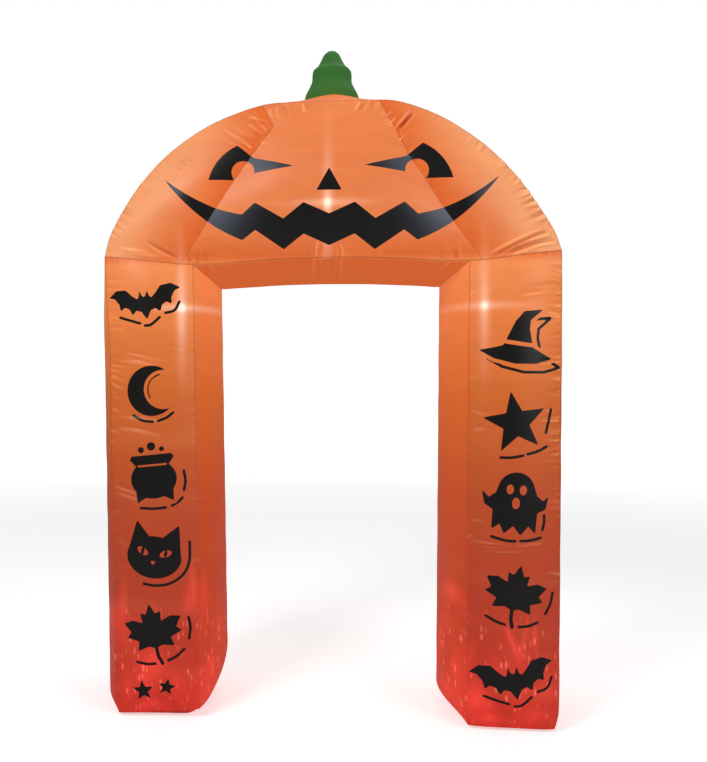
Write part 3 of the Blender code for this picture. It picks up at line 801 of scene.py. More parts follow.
SHEEN_FROM = 0.53                  # distance from the centre line at which that painted reflection starts at the grin's ends
VALLEY_FAINT = 0.0015              # makes the stitching of the valleys fainter

LAMPS = (  # x, height, strength of the bright spot that a lamp makes on the front
    (-0.582, 1.640, 1.10),
    (0.592, 1.638, 0.80),
    (-0.006, 2.032, 0.95),
)


def lamp_light(x, y, z):
    """Warm light of the lamps on the cloth, from 0 to about 1: a small hot spot, with a long
    upright streak and a shorter level one where the coated cloth spreads it. Each falls off as
    a bell, a long streak as a narrower one."""
    total = np.zeros(len(x))
    for lamp_x, lamp_z, strength in LAMPS:
        dx, dz = np.abs(x - lamp_x), np.abs(z - lamp_z)
        for (share, half_width, half_height), fall_across, fall_up in (
                (SPOT, 2.0, 2.0), (UPRIGHT, 2.0, 1.5), (LEVEL, 1.5, 2.0)):
            bell = np.exp(-(dx / half_width) ** fall_across - (dz / half_height) ** fall_up)
            total += strength * share * bell
    return total * np.where(y < 0, 1.0, LAMP_BEHIND)


FLAMES = (  # x, height, half width, half height, lean, strength of a lick of red light
    (-0.538, 0.535, 0.020, 0.095, -0.05, 1.00),
    (-0.560, 0.470, 0.022, 0.050, 0.05, 0.45),
    (-0.822, 0.440, 0.022, 0.110, 0.05, 0.75),
    (-0.858, 0.400, 0.012, 0.070, 0.00, 0.60),
    (-0.775, 0.360, 0.020, 0.060, 0.10, 0.40),
    (-0.692, 0.235, 0.050, 0.060, 0.00, 0.95),
    (-0.690, 0.400, 0.020, 0.060, 0.00, 0.50),
    (-0.735, 0.160, 0.035, 0.035, 0.00, 0.50),
    (-0.700, 0.060, 0.060, 0.030, 0.00, 0.75),
    (-0.600, 0.150, 0.035, 0.050, -0.10, 0.40),
    (-0.800, 0.130, 0.030, 0.050, 0.00, 0.40),
    (0.688, 0.365, 0.013, 0.075, -0.38, 0.95),
    (0.742, 0.410, 0.009, 0.065, 0.16, 0.80),
    (0.776, 0.395, 0.009, 0.070, -0.03, 0.70),
    (0.726, 0.330, 0.012, 0.040, 0.20, 0.50),
    (0.560, 0.125, 0.050, 0.055, 0.00, 0.95),
    (0.600, 0.050, 0.070, 0.025, 0.00, 0.80),
    (0.640, 0.250, 0.030, 0.060, -0.20, 0.45),
    (0.820, 0.200, 0.025, 0.070, 0.00, 0.50),
    (0.780, 0.070, 0.060, 0.030, 0.00, 0.60),
    (0.545, 0.300, 0.016, 0.060, 0.10, 0.45),
)
REVEAL_FLAMES = (  # the same inside the doorway: side, depth from the middle, height, ...
    (1, -0.165, 0.515, 0.070, 0.048, 0.0, 1.00),
    (1, -0.130, 0.400, 0.030, 0.060, 0.0, 0.50),
    (1, -0.060, 0.300, 0.040, 0.060, 0.0, 0.60),
    (1, -0.200, 0.230, 0.030, 0.060, 0.0, 0.50),
    (1, -0.130, 0.120, 0.060, 0.050, 0.0, 0.60),
    (-1, -0.230, 0.500, 0.030, 0.090, 0.0, 0.60),
    (-1, -0.120, 0.350, 0.035, 0.060, 0.0, 0.50),
    (-1, -0.180, 0.200, 0.040, 0.050, 0.0, 0.55),
)


def lick(across, z, centre, height, half_width, half_height, lean, strength):
    """One lick: an upright drop, wider at its foot than at its tip."""
    up = (z - height) / half_height
    width = half_width * np.clip(1.0 - LICK_TAPER * up, 0.25, 1.4)
    beside = (across - centre - lean * (z - height)) / width
    return LICK_LIGHT * strength * np.exp(-np.abs(beside) ** 1.8 - np.abs(up) ** 2.2)


def flame_licks(x, y, z, on_reveal):
    """Placed licks of red light near the feet, on the front and inside the doorway."""
    total = np.zeros(len(x))
    for flame in FLAMES:
        total += lick(x, z, *flame) * ~on_reveal * (y < 0)
    for side, *flame in REVEAL_FLAMES:
        total += lick(y, z, *flame) * on_reveal * (np.sign(x) == side)
    return np.clip(total, 0.0, 1.0)


# Meshes

def add_object(name, data):
    """A new object at the origin, in the scene."""
    made = bpy.data.objects.new(name, data)
    bpy.context.scene.collection.objects.link(made)
    return made


def lattice_piece(name, a, b, c, place, smooth_corner=False):
    """Makes a closed mesh of the outside of a box lattice whose points the placing function
    moves. It returns x, y, z and named values for each point. Lattice edges are sewn seams and
    stay sharp, apart from the one between the left and top sides where smooth_corner is set."""
    counts = (len(a), len(b), len(c))
    i, j, k = np.meshgrid(*(np.arange(n) for n in counts), indexing="ij")
    bits = np.zeros(counts, int)
    for place_bit, (index, count) in enumerate(zip((i, j, k), counts)):
        bits |= np.where(index == 0, 1 << (2 * place_bit), 0)
        bits |= np.where(index == count - 1, 2 << (2 * place_bit), 0)
    outside = bits > 0
    number = np.full(counts, -1)
    number[outside] = np.arange(outside.sum())
    x, y, z, values = place(a[i[outside]], b[j[outside]], c[k[outside]])
    x = widened(x, z)
    # Each side's rows run so that its quads face outwards for a lattice that isn't mirrored.
    sides = (number[0][::-1], number[-1], number[:, 0], number[:, -1][::-1],
             number[:, :, 0][::-1], number[:, :, -1])
    quads = [
        np.stack([s[:-1, :-1], s[1:, :-1], s[1:, 1:], s[:-1, 1:]], axis=-1).reshape(-1, 4)
        for s in sides
    ]
    points = np.stack([x, y, z], axis=-1)
    made = mesh_object(name, points, np.concatenate(quads))
    mark_seams(made.data, bits[outside], smooth_corner)
    for key, value in values.items():
        made.data.attributes.new(key, "FLOAT", "POINT").data.foreach_set("value", value)
    return made


def mesh_object(name, points, quads):
    """Makes an object of quads and turns the whole shell outwards by its signed volume."""
    points = points + (CENTRE_SHIFT, 0.0, 0.0)
    p0, p1, p2, p3 = (points[quads[:, n]] for n in range(4))
    volume = np.einsum("ij,ij->i", p0, np.cross(p1, p2) + np.cross(p2, p3)).sum()
    if volume < 0:
        quads = quads[:, ::-1]
    mesh = bpy.data.meshes.new(name)
    mesh.vertices.add(len(points))
    mesh.vertices.foreach_set("co", points.astype(np.float32).ravel())
    mesh.loops.add(quads.size)
    mesh.loops.foreach_set("vertex_index", quads.astype(np.int32).ravel())
    mesh.polygons.add(len(quads))
    mesh.polygons.foreach_set("loop_start", np.arange(0, quads.size, 4, dtype=np.int32))
    mesh.update(calc_edges=True)
    mesh.validate()
    mesh.shade_smooth()
    return add_object(name, mesh)


def mark_seams(mesh, bits, smooth_corner):
    """Marks the edges that run along two sides of the lattice as sharp."""
    ends = np.empty(len(mesh.edges) * 2, np.int32)
    mesh.edges.foreach_get("vertices", ends)
    shared = bits[ends[0::2]] & bits[ends[1::2]]
    count = sum((shared >> n) & 1 for n in range(6))
    sharp = count >= 2
    if smooth_corner:
        sharp &= shared != (1 | 32)
    mesh.attributes.new("sharp_edge", "BOOLEAN", "EDGE").data.foreach_set("value", sharp)


def cells(length, size):
    return max(2, int(round(length / size)))


# Chambers

def shoulder_lines():
    """Distances from the centre line of the lattice lines over a column, from the doorway's
    corner to the foot of the valley and from there to the outer edge."""
    near = np.linspace(INNER, FOOT_OF_VALLEY, cells(FOOT_OF_VALLEY - INNER, FACE_CELL) + 1)
    far = np.linspace(FOOT_OF_VALLEY, OUTER, cells(OUTER - FOOT_OF_VALLEY, FACE_CELL) + 1)
    return near, far


def depth_lines():
    return np.linspace(-1.0, 1.0, cells(DEPTH, GUSSET_CELL) + 1)


def column_heights(side, out, deep, up):
    """Heights of a column's points, of its top over them and of the seam round its sole. The
    sole is flat and curves up to that seam near its edge."""
    seam = np.interp(across_column(out), (-1.0, 1.0), side["sole_lift"][::-1])
    top = header_height(out) - SOFFIT_SWELL * crown(deep) - GAP
    from_side = np.minimum(out - INNER, OUTER - out)
    from_face = (1.0 - np.abs(deep)) * DEPTH / 2
    bottom = seam * (1.0 - settle(from_side, SOLE_ROUND) * settle(from_face, SOLE_ROUND))
    return bottom + (top - bottom) * up, top, seam


def column_swells(side, out, deep, z, top, seam):
    """How far a column's panels stand out: front and back, reveal, and outer gusset. Each is a
    parabola between its seams that settles towards the sole, and the front towards the head."""
    front = FRONT_SWELL * crown(across_column(out)) * settle(z - seam, FACE_FADE)
    blend = settle(header_height(out) - z, TOP_FADE)
    face = front * blend + header_swell(out) * (1.0 - blend)
    risen = settle(z - seam, side["foot_fade"])
    risen = side["foot_bulge"] + (1.0 - side["foot_bulge"]) * risen
    reveal = REVEAL_SWELL * crown(deep) * risen * (out == INNER)
    outer = RIM_SWELL + side["outer_swell"] * settle(top - z, OUTER_REACH)
    outer = outer * crown(deep) * settle(z - seam, side["outer_fade"]) * (out == OUTER)
    return face, reveal, outer


def column_seam_gap(out, deep, up, z, top):
    """Distance from the nearest stitched seam: on the front and back from the side seams and
    the head, on a gusset from the front and back."""
    on_face = on_front_or_back(deep)
    from_side = np.minimum(out - INNER, OUTER - out)
    from_top = np.where(on_face, np.abs(header_height(out) - z), 1.0)
    gap = np.minimum(from_side, from_top)
    from_face = (1.0 - np.abs(deep)) * DEPTH / 2
    on_gusset = ((out == INNER) | (out == OUTER)) & ~on_face
    gap = np.where(on_gusset, np.minimum(from_face, np.abs(top - z)), gap)
    return np.where((up == 0.0) | (up == 1.0), 0.0, gap)


def column(name, side, seed):
    """A column: a tube with four seams, front, back, reveal and outer gusset swelling between
    them, standing on a flat sole whose edge is rounded."""
    near, far = shoulder_lines()
    a = np.concatenate([near, far[1:]])
    b = depth_lines()
    c = np.linspace(0.0, 1.0, cells(SHOULDER, FACE_CELL * 1.05) + 1)
    sign = side["sign"]

    def place(out, deep, up):
        across = across_column(out)
        z, top, seam = column_heights(side, out, deep, up)
        face, reveal, outer = column_swells(side, out, deep, z, top, seam)
        on_reveal, on_outer = out == INNER, out == OUTER
        calm = settle(z, GROUND_TAUT) * settle(np.clip(top - z, 0.0, None), TOP_TAUT)
        reveal_folds = calm * gusset_relief(z, deep, seed + 40) * on_reveal
        outer_folds = calm * gusset_relief(z, deep, seed + 50) * on_outer
        near_ground = CORNER_ROUND * np.clip(1.0 - z / CORNER_HEIGHT, 0.0, 1.0) ** 2
        corner = near_ground * across**4 * deep**4
        inner_edge = out - side["foot_shift"] * (1.0 - np.clip(z / HEADER_SEAM, 0.0, 1.0))
        flat_x = sign * inner_edge
        x = sign * (inner_edge - (reveal + reveal_folds) + (outer + outer_folds)
                    - np.sign(across) * corner)
        on_front, on_back = deep == -1.0, deep == 1.0
        relief = reveal_folds + outer_folds
        relief[on_front] = column_relief(flat_x[on_front], z[on_front], side, seed, True)
        relief[on_back] = column_relief(flat_x[on_back], z[on_back], side, seed + 7, False)
        y = deep * (DEPTH / 2 + face) - np.sign(deep) * corner
        y += np.sign(deep) * relief * settle(z, GROUND_TAUT) * (on_front | on_back)
        ink, line = print_distances(flat_x, z, on_front)
        values = {"ink": ink, "line": line, "seam": column_seam_gap(out, deep, up, z, top),
                  "lamp": lamp_light(x, y, z), "pale": on_reveal * 1.0, "fold": relief,
                  "shade": np.zeros(len(x)), "sheen": np.zeros(len(x)),
                  "lick": flame_licks(flat_x, y, z, on_reveal)}
        return x, y, z, values

    return lattice_piece(name, a, b, c, place)


def gusset_relief(s, deep, seed):
    """Folds of a gusset: puckers along both of its seams and slow unevenness."""
    y = deep * DEPTH / 2
    if not len(s):
        return y
    taut = settle(DEPTH / 2 - np.abs(y), SEAM_TAUT)
    ends = np.array([s.min(), s.max()])
    relief = billow(y, s, GUSSET_BILLOW, seed)
    for edge, inward in ((-DEPTH / 2, 1), (DEPTH / 2, -1)):
        line = np.array([(edge, ends[0]), (edge, ends[1])])
        pucker(relief, y, s, line, -inward, GUSSET_PUCKERS, seed + 1 + inward)
    return relief * taut


def column_relief(x, z, side, seed, front):
    """Folds of a column's front or back: puckers along its seams, slow level waves and, on the
    front, the creases that show."""
    sign = side["sign"]
    lean = side["foot_shift"]
    relief = billow(x, z, COLUMN_BILLOW, seed)
    for out, inward, puckers in ((OUTER, sign, OUTER_PUCKERS), (INNER, -sign, INNER_PUCKERS)):
        line = np.array([(sign * (out - lean), 0.05), (sign * out, HEADER_SEAM)])
        pucker(relief, x, z, line, inward, puckers, seed + int(10 * out))
    top = np.array([(sign * INNER, header_height(INNER)), (sign * OUTER, header_height(OUTER))])
    pucker(relief, x, z, top, -sign, TOP_PUCKERS, seed + 3)
    foot = np.array([(sign * (INNER - lean), 0.03), (sign * (OUTER - lean), 0.03)])
    pucker(relief, x, z, foot, sign, FOOT_PUCKERS, seed + 4)
    if front:
        placed_folds(relief, x, z)
    return relief


def head_relief(x, z, seed, front):
    """Folds of the head's front or back: puckers along the rim, the valleys and the seam under
    it, slow unevenness and, on the front, the creases that show."""
    relief = billow(x, z, HEAD_BILLOW, seed)
    for side in SIDES.values():
        sign = side["sign"]
        pucker(relief, x, z, RIM_CURVE * (sign, 1), -sign, RIM_PUCKERS, seed + sign)
        valley = valley_of(side) * (sign, 1)
        for hand in (-1, 1):
            pucker(relief, x, z, valley, hand, VALLEY_PUCKERS, seed + 5 * hand + sign)
        under = np.array([(0.0, header_height(0.0)), (sign * INNER, HEADER_SEAM),
                          (sign * OUTER, SHOULDER)])
        pucker(relief, x, z, under, sign, HEADER_PUCKERS, seed + 20 + sign)
    if front:
        placed_folds(relief, x, z)
    return relief


def patch(left, right, bottom, top):
    """A Coons patch: the surface between four edge curves that meet at their corners. Rows run
    across and columns up."""
    across = np.linspace(0.0, 1.0, len(bottom))[:, None, None]
    up = np.linspace(0.0, 1.0, len(left))[None, :, None]
    ruled_across = (1 - across) * left[None] + across * right[None]
    ruled_up = (1 - up) * bottom[:, None] + up * top[:, None]
    corners = (
        (1 - across) * (1 - up) * bottom[0] + across * (1 - up) * bottom[-1]
        + (1 - across) * up * top[0] + across * up * top[-1]
    )
    return ruled_across + ruled_up - corners


def valley_points(side, gap):
    """Points of a valley at the lattice lines, foot to top, moved across by a gap."""
    foot, knee, top = valley_of(side)
    lower = np.linspace(foot, knee, HEAD_ROWS - side["upper_cells"] + 1)
    upper = np.linspace(knee, top, side["upper_cells"] + 1)
    points = np.vstack([lower, upper[1:]])
    points[:, 0] += gap
    return points


def head_swells(x, z):
    """The head's crown and the distance from the nearest valley, each half by its own valley."""
    swell, from_valley = np.zeros(len(x)), np.full(len(x), 1.0)
    for side in SIDES.values():
        half = np.sign(x + 1e-9) == side["sign"]
        out = np.abs(x[half])
        swell[half] = head_swell(side, out, z[half])
        from_valley[half] = distance_to(valley_of(side), out, z[half])
    return swell, from_valley


def head_folds(x, z, deep, on_soffit):
    """Folds of the head's front, back and soffit."""
    on_front, on_back = deep == -1.0, deep == 1.0
    relief = np.zeros(len(x))
    relief[on_front] = head_relief(x[on_front], z[on_front], 11, True)
    relief[on_back] = head_relief(x[on_back], z[on_back], 31, False)
    relief[on_soffit] = add_folds(np.zeros(on_soffit.sum()), x[on_soffit],
                                  deep[on_soffit] * DEPTH / 2, SOFFIT_CREASES, True)
    return relief


def head_seam_gap(x, z, deep, from_valley, on_gusset):
    """Distance from the nearest stitched seam: on the front and back from the rim, the valleys
    and the seam below, on a gusset from the front and back."""
    out = np.abs(x)
    gap = np.minimum(distance_to(COARSE_RIM, out, z), np.abs(z - header_height(out)))
    gap = np.minimum(gap, from_valley + VALLEY_FAINT)
    return np.where(on_gusset, (1.0 - np.abs(deep)) * DEPTH / 2, gap)


def head_rim(grid, push_left, push_top):
    """The line of the outer gusset round a chamber of the head and its outward vectors: up the
    left edge, where the gusset is there, and on over the top one."""
    if push_left is None:
        return grid[:, -1], push_top
    return np.vstack([grid[0], grid[1:, -1]]), np.vstack([push_left, push_top[1:]])


def head_piece(name, grid, push_left, push_top, seed):
    """A chamber of the head: a flat patch of (x, z) points given its depth, its crown and its
    folds. The pushes are the outward vectors of the gusset on the patch's left and top edges,
    or None on an edge that another chamber covers."""
    columns, rows = grid.shape[:2]
    a, b, c = np.arange(columns, dtype=float), depth_lines(), np.arange(rows, dtype=float)
    outer = push_left is not None
    rim_line, rim_push = head_rim(grid, push_left, push_top)
    rim_run = run_along(rim_line)

    def place(across, deep, up):
        i, k = across.astype(int), up.astype(int)
        x, z = grid[i, k, 0], grid[i, k, 1]
        on_face = on_front_or_back(deep)
        on_top, on_left = k == rows - 1, (i == 0) & outer
        rim, bottom = on_top | on_left, k == 0
        swell, from_valley = head_swells(x, z)
        swell[rim] = 0.0
        y = deep * (DEPTH / 2 + swell)
        step = np.where(on_top, i + (rows - 1) * outer, k)[rim]
        lift = RIM_SWELL * crown(deep[rim])
        lift += gusset_relief(rim_run[step], deep[rim], seed + 60)
        drop = np.where(bottom, SOFFIT_SWELL * crown(deep), 0.0)
        over_door = bottom & (np.abs(x) < INNER)
        drop[over_door] += SOFFIT_FOLDS * gusset_relief(x[over_door], deep[over_door], seed + 70)
        relief = head_folds(x, z, deep, over_door & ~on_face)
        drop += relief * ~on_face
        y += np.sign(deep) * relief
        under = bottom & ~on_face & ~rim
        on_gusset = rim & ~on_face
        pale = head_pale(x, z, from_valley, not outer) * ~under
        pale = np.where(on_gusset, gusset_pale(z), pale)
        # Painted shade under the head and, in part, on the mound under the stem.
        shade = under + MOUND_SHADE * (on_top & on_gusset) * mound(x) / MOUND_SWELL
        ink, line = print_distances(x - head_lean(x, z), z, deep == -1.0)
        values = {"ink": ink, "line": line,
                  "seam": head_seam_gap(x, z, deep, from_valley, (rim | bottom) & ~on_face),
                  "lamp": lamp_light(x, y, z), "pale": pale, "fold": relief, "shade": shade,
                  # The print's sheen is a painted reflection.
                  "sheen": painted_ink_sheen(np.abs(x), from_valley, not outer),
                  "lick": np.zeros(len(x))}
        z[on_top] += mound(x[on_top]) * crown(deep[on_top])
        x[rim] += rim_push[step, 0] * lift
        z[rim] += rim_push[step, 1] * lift
        return x, y, z - drop, values

    return lattice_piece(name, a, b, c, place, smooth_corner=outer)


def on_front_or_back(deep):
    return np.abs(deep) == 1.0


def painted_ink_sheen(out, from_valley, on_middle):
    """How much painted grey reflection the print gets, from 0 to 1: on the middle rib beside its
    valleys, and at the grin's ends."""
    if on_middle:
        return np.exp(-(from_valley / SHEEN_WIDTH) ** 2)
    return 0.8 * np.clip((out - SHEEN_FROM) / SHEEN_WIDTH, 0.0, 1.0) ** 1.5


def head_pale(x, z, from_valley, on_middle):
    """How much the lamps' light pales the cloth of the head, from 0 to 1: most in the outer
    ribs, away from their valley, and less in the middle one, least above the doorway, but for
    its very middle."""
    if not on_middle:
        return RIB_PALE * np.clip(from_valley / RIB_PALE_REACH, 0.0, 1.0) ** 1.3
    low = np.clip((MIDDLE_DARK_FROM - z) / 0.10, 0.0, 1.0) ** 0.7
    glow = MIDDLE_GLOW * np.exp(-((x + 0.005) / 0.045) ** 2)
    return MIDDLE_PALE - (MIDDLE_DARK - glow) * low


def gusset_pale(z):
    """How much the lamps' light pales the head's outer gusset: more towards its top."""
    return GUSSET_PALE * np.clip((z - GUSSET_PALE_FROM) / GUSSET_PALE_OVER, 0.0, 1.0)


def head_side(name, side, seed):
    """The rib of the head that stands on a column, from the shoulder up to the valley."""
    sign = side["sign"]
    top_share = rim_share(side["valley_top"])
    turn_share = 0.5 * (1.0 + top_share)
    outer = along(RIM_CURVE, np.linspace(1.0, turn_share, HEAD_ROWS + 1))
    top = along(RIM_CURVE, np.linspace(turn_share, top_share, HEAD_COLUMNS + 1))
    foot = np.linspace(OUTER, FOOT_OF_VALLEY, HEAD_COLUMNS + 1)
    bottom = np.stack([foot, header_height(foot)], axis=-1)
    valley = valley_points(side, GAP / 2)
    bottom[0] = outer[0]
    bottom[-1] = valley[0]
    top[-1] = valley[-1]
    grid = patch(outer, valley, bottom, top)
    rim_line = np.vstack([outer, top[1:]])
    push = -outward(rim_line)
    end = unit(valley[-1] - valley[-2])
    share = np.clip(1.0 - run_along(rim_line[::-1])[::-1] / GUSSET_TURN, 0.0, 1.0)[:, None]
    start = np.clip(1.0 - run_along(rim_line) / GUSSET_LEVEL, 0.0, 1.0)[:, None]
    push = push * (1 - share) * (1 - start) + end * share + np.array([1.0, 0.0]) * start
    push /= np.hypot(*push.T)[:, None]
    grid[..., 0] *= sign
    push[:, 0] *= sign
    return head_piece(name, grid, push[: HEAD_ROWS + 1], push[HEAD_ROWS:], seed)


def head_middle(name, left, right, seed):
    """The middle rib, between the two valleys, with the soffit over the doorway under it."""
    foot = np.linspace(-FOOT_OF_VALLEY, FOOT_OF_VALLEY, 2 * HEAD_COLUMNS + 1)
    bottom = np.stack([foot, header_height(np.abs(foot))], axis=-1)
    valley_left = valley_points(left, -GAP / 2) * (-1, 1)
    valley_right = valley_points(right, -GAP / 2)
    left_shares = np.linspace(rim_share(left["valley_top"]), 0.0, HEAD_COLUMNS + 1)
    right_shares = np.linspace(0.0, rim_share(right["valley_top"]), HEAD_COLUMNS + 1)
    rim_left = along(RIM_CURVE, left_shares) * (-1, 1)
    rim_right = along(RIM_CURVE, right_shares)
    top = np.vstack([rim_left, rim_right[1:]])
    for edge, end in ((bottom, 0), (top, -1)):
        edge[0] = valley_left[end]
        edge[-1] = valley_right[end]
    grid = patch(valley_left, valley_right, bottom, top)
    push = outward(top)
    for edge, valley in ((0, valley_left), (-1, valley_right)):
        run = run_along(top) if edge == 0 else run_along(top[::-1])[::-1]
        share = np.clip(1.0 - run / GUSSET_TURN, 0.0, 1.0)[:, None]
        push = push * (1 - share) + unit(valley[-1] - valley[-2]) * share
    push /= np.hypot(*push.T)[:, None]
    return head_piece(name, grid, None, push, seed)


def mound(x):
    """How much higher the outer gusset stands round the stem: a bell over the centre line."""
    return MOUND_SWELL * np.exp(-((x - STEM_CENTRE) / MOUND_REACH) ** 2)


def gusset_height(x, y):
    """Height of the outer gusset over the head, near the stem. The rim's slight slope there
    moves each point of the gusset outwards as it swells."""
    bow = crown(y / (DEPTH / 2))
    slope = (rim_height(np.abs(x + 0.01)) - rim_height(np.abs(x - 0.01))) / 0.02
    start = x + slope * RIM_SWELL * bow
    return rim_height(np.abs(start)) + (RIM_SWELL + mound(start)) * bow


def stem_points():
    """The stem's rings from its foot up, then the middle of its foot and its tip. A turned
    outline with two shallow side seams and a few soft folds, its foot following the gusset."""
    outline = along(smooth_curve([(r, h) for h, r in STEM]), np.linspace(0, 1, STEM_RINGS + 1))
    turn = np.linspace(0.0, 2 * math.pi, STEM_SIDES, endpoint=False)
    radius, height = outline[:, :1], outline[:, 1:]
    crest = float(gusset_height(STEM_CENTRE, 0.0))
    pinch = 1.0 - STEM_PINCH * np.abs(np.cos(turn)) ** 10
    folds = sum(relief * np.sin(count * turn + twist * height)
                for relief, count, twist in STEM_FOLDS)
    folds = folds * np.clip(radius / 0.08, 0.0, 1.0)
    x = STEM_CENTRE + (radius * pinch + folds) * np.cos(turn)
    y = STEM_FLAT * (radius * pinch + folds) * np.sin(turn)
    share = np.clip(height / 0.05, 0.0, 1.0)
    foot = gusset_height(x, y) + STEM_CLEARANCE
    z = (foot + height) * (1.0 - share) + (crest + STEM_CLEARANCE + height) * share
    rings = np.stack([x, y, z], axis=-1).reshape(-1, 3)
    under = (STEM_CENTRE, 0.0, crest + STEM_HOLLOW)
    tip = (STEM_CENTRE, 0.0, crest + STEM[-1][0] + 0.003)
    return np.vstack([rings, [under], [tip]])


def stem_faces():
    """Quads between the stem's rings, and two fans that close its foot and its tip."""
    ring = np.arange(STEM_SIDES)
    following = (ring + 1) % STEM_SIDES
    level = (np.arange(STEM_RINGS) * STEM_SIDES)[:, None]
    wall = np.stack([level + ring, level + following, level + STEM_SIDES + following,
                     level + STEM_SIDES + ring], axis=-1).reshape(-1, 4)
    last = STEM_RINGS * STEM_SIDES
    under = np.full(STEM_SIDES, last + STEM_SIDES)
    foot = np.stack([following, ring, under], axis=-1)
    top = np.stack([last + ring, last + following, under + 1], axis=-1)
    return wall.tolist() + foot.tolist() + top.tolist()


def stem(name):
    """The stem as a closed shell."""
    mesh = bpy.data.meshes.new(name)
    points = stem_points() + (CENTRE_SHIFT, 0.0, 0.0)
    mesh.from_pydata(points.tolist(), [], stem_faces())
    mesh.shade_smooth()
    mesh.set_sharp_from_angle(angle=math.radians(60))
    return add_object(name, mesh)


# Materials

BLACK = (0.0, 0.0, 0.0, 1.0)
WHITE = (1.0, 1.0, 1.0, 1.0)
CLOTH = (  # height and colour of the dyed cloth, painted paler where more light is inside
    (0.00, (0.500, 0.034, 0.020)),
    (0.45, (0.430, 0.040, 0.018)),
    (0.90, (0.420, 0.056, 0.019)),
    (1.30, (0.460, 0.082, 0.022)),
    (1.60, (0.520, 0.115, 0.028)),
    (1.85, (0.520, 0.122, 0.022)),
)
INNER_LIGHT = (  # height and colour of the light that comes through the columns
    (0.00, (0.160, 0.000, 0.000)),
    (0.50, (0.074, 0.007, 0.001)),
    (0.90, (0.112, 0.021, 0.003)),
    (1.30, (0.222, 0.064, 0.006)),
    (1.60, (0.345, 0.113, 0.028)),
    (1.80, (0.425, 0.158, 0.057)),
)
REVEAL_LIGHT = (0.120, 0.016, 0.004, 1.0)     # added inside the doorway
HEAD_LIGHT = ((0.290, 0.030, 0.002, 1.0), (0.430, 0.240, 0.120, 1.0))   # in a valley, at the rim
INK = (0.0050, 0.0042, 0.0040, 1.0)
STITCH = (0.20, 0.035, 0.012, 1.0)
DUSKY = (0.36, 0.050, 0.014, 1.0)
LAMP_COLOUR = (1.0, 0.84, 0.70, 1.0)
# Painted shade in a fold's trough and a painted highlight on its crest, in the colour and, added,
# in the light.
TROUGH_SHADE = (0.40, 0.060, 0.012, 1.0)
CREST_HIGHLIGHT = (0.80, 0.34, 0.12, 1.0)
CREST_LIGHT = (0.14, 0.085, 0.045, 1.0)
COATING = 0.42           # weight of the shining coat, which the soffit hardly shows
FOLD_DEEP = 0.0075       # relief of a fold that takes these colours fully
# Painted shade under the head, and the light that comes through there.
SOFFIT = (0.40, 0.050, 0.010, 1.0)
SOFFIT_LIGHT = (0.390, 0.098, 0.028, 1.0)
# A painted grey reflection on the print, given as light.
PAINTED_INK_SHEEN = (0.070, 0.080, 0.104, 1.0)
TALL = 2.75      # height at the end of the colour ramps
STEM_DYE_AND_FOOT_LIGHT = ((0.018, 0.054, 0.012, 1.0), (0.020, 0.080, 0.016, 1.0))     # dye above; at its foot painted lighter by the light inside
STEM_DUSKY = (0.024, 0.085, 0.028, 1.0)
STEM_LIGHT = ((0.020, 0.094, 0.015, 1.0), (0.026, 0.074, 0.010, 1.0))   # above and at its foot
STEM_FOOT = (2.54, 2.62)           # heights between which the foot's colours fade out
PRINT_EDGE = 0.0007                # half the width over which the print's edge fades
STITCH_WIDTH = 0.0050


def group_with(name, inputs, outputs):
    """A shader node group with its inputs and outputs as (name, socket type, default)."""
    tree = bpy.data.node_groups.new(name, "ShaderNodeTree")
    for label, kind, default in inputs:
        socket = tree.interface.new_socket(label, in_out="INPUT", socket_type=kind)
        socket.default_value = default
    for label, kind in outputs:
        tree.interface.new_socket(label, in_out="OUTPUT", socket_type=kind)
    return tree, tree.nodes.new("NodeGroupInput"), tree.nodes.new("NodeGroupOutput")


def node(tree, kind, **settings):
    made = tree.nodes.new(kind)
    for key, value in settings.items():
        setattr(made, key, value)
    return made


def attach(tree, socket, value):
    """Links a socket to another node's output, or sets its value."""
    if isinstance(value, bpy.types.NodeSocket):
        tree.links.new(value, socket)
    else:
        socket.default_value = value


def feed(tree, made, **inputs):
    """Sets or links a node's inputs by name, with spaces written as underscores, or by number
    as i0, i1 and so on."""
    for key, value in inputs.items():
        numbered = key[0] == "i" and key[1:].isdigit()
        attach(tree, made.inputs[int(key[1:]) if numbered else key.replace("_", " ")], value)
    return made


def maths(tree, operation, *values, clamp=False):
    made = node(tree, "ShaderNodeMath", operation=operation, use_clamp=clamp)
    feed(tree, made, **{f"i{n}": value for n, value in enumerate(values)})
    return made.outputs[0]


def ramp_between(tree, value, start, end, low=0.0, high=1.0, smooth=True):
    """Maps a value from start..end to low..high, clamped."""
    made = node(tree, "ShaderNodeMapRange", clamp=True)
    made.interpolation_type = "SMOOTHSTEP" if smooth else "LINEAR"
    feed(tree, made, Value=value, From_Min=start, From_Max=end, To_Min=low, To_Max=high)
    return made.outputs["Result"]


def mix_colour(tree, share, first, second, blend="MIX"):
    made = node(tree, "ShaderNodeMix", data_type="RGBA", blend_type=blend)
    made.clamp_factor = True
    return feed(tree, made, i0=share, i6=first, i7=second).outputs[2]


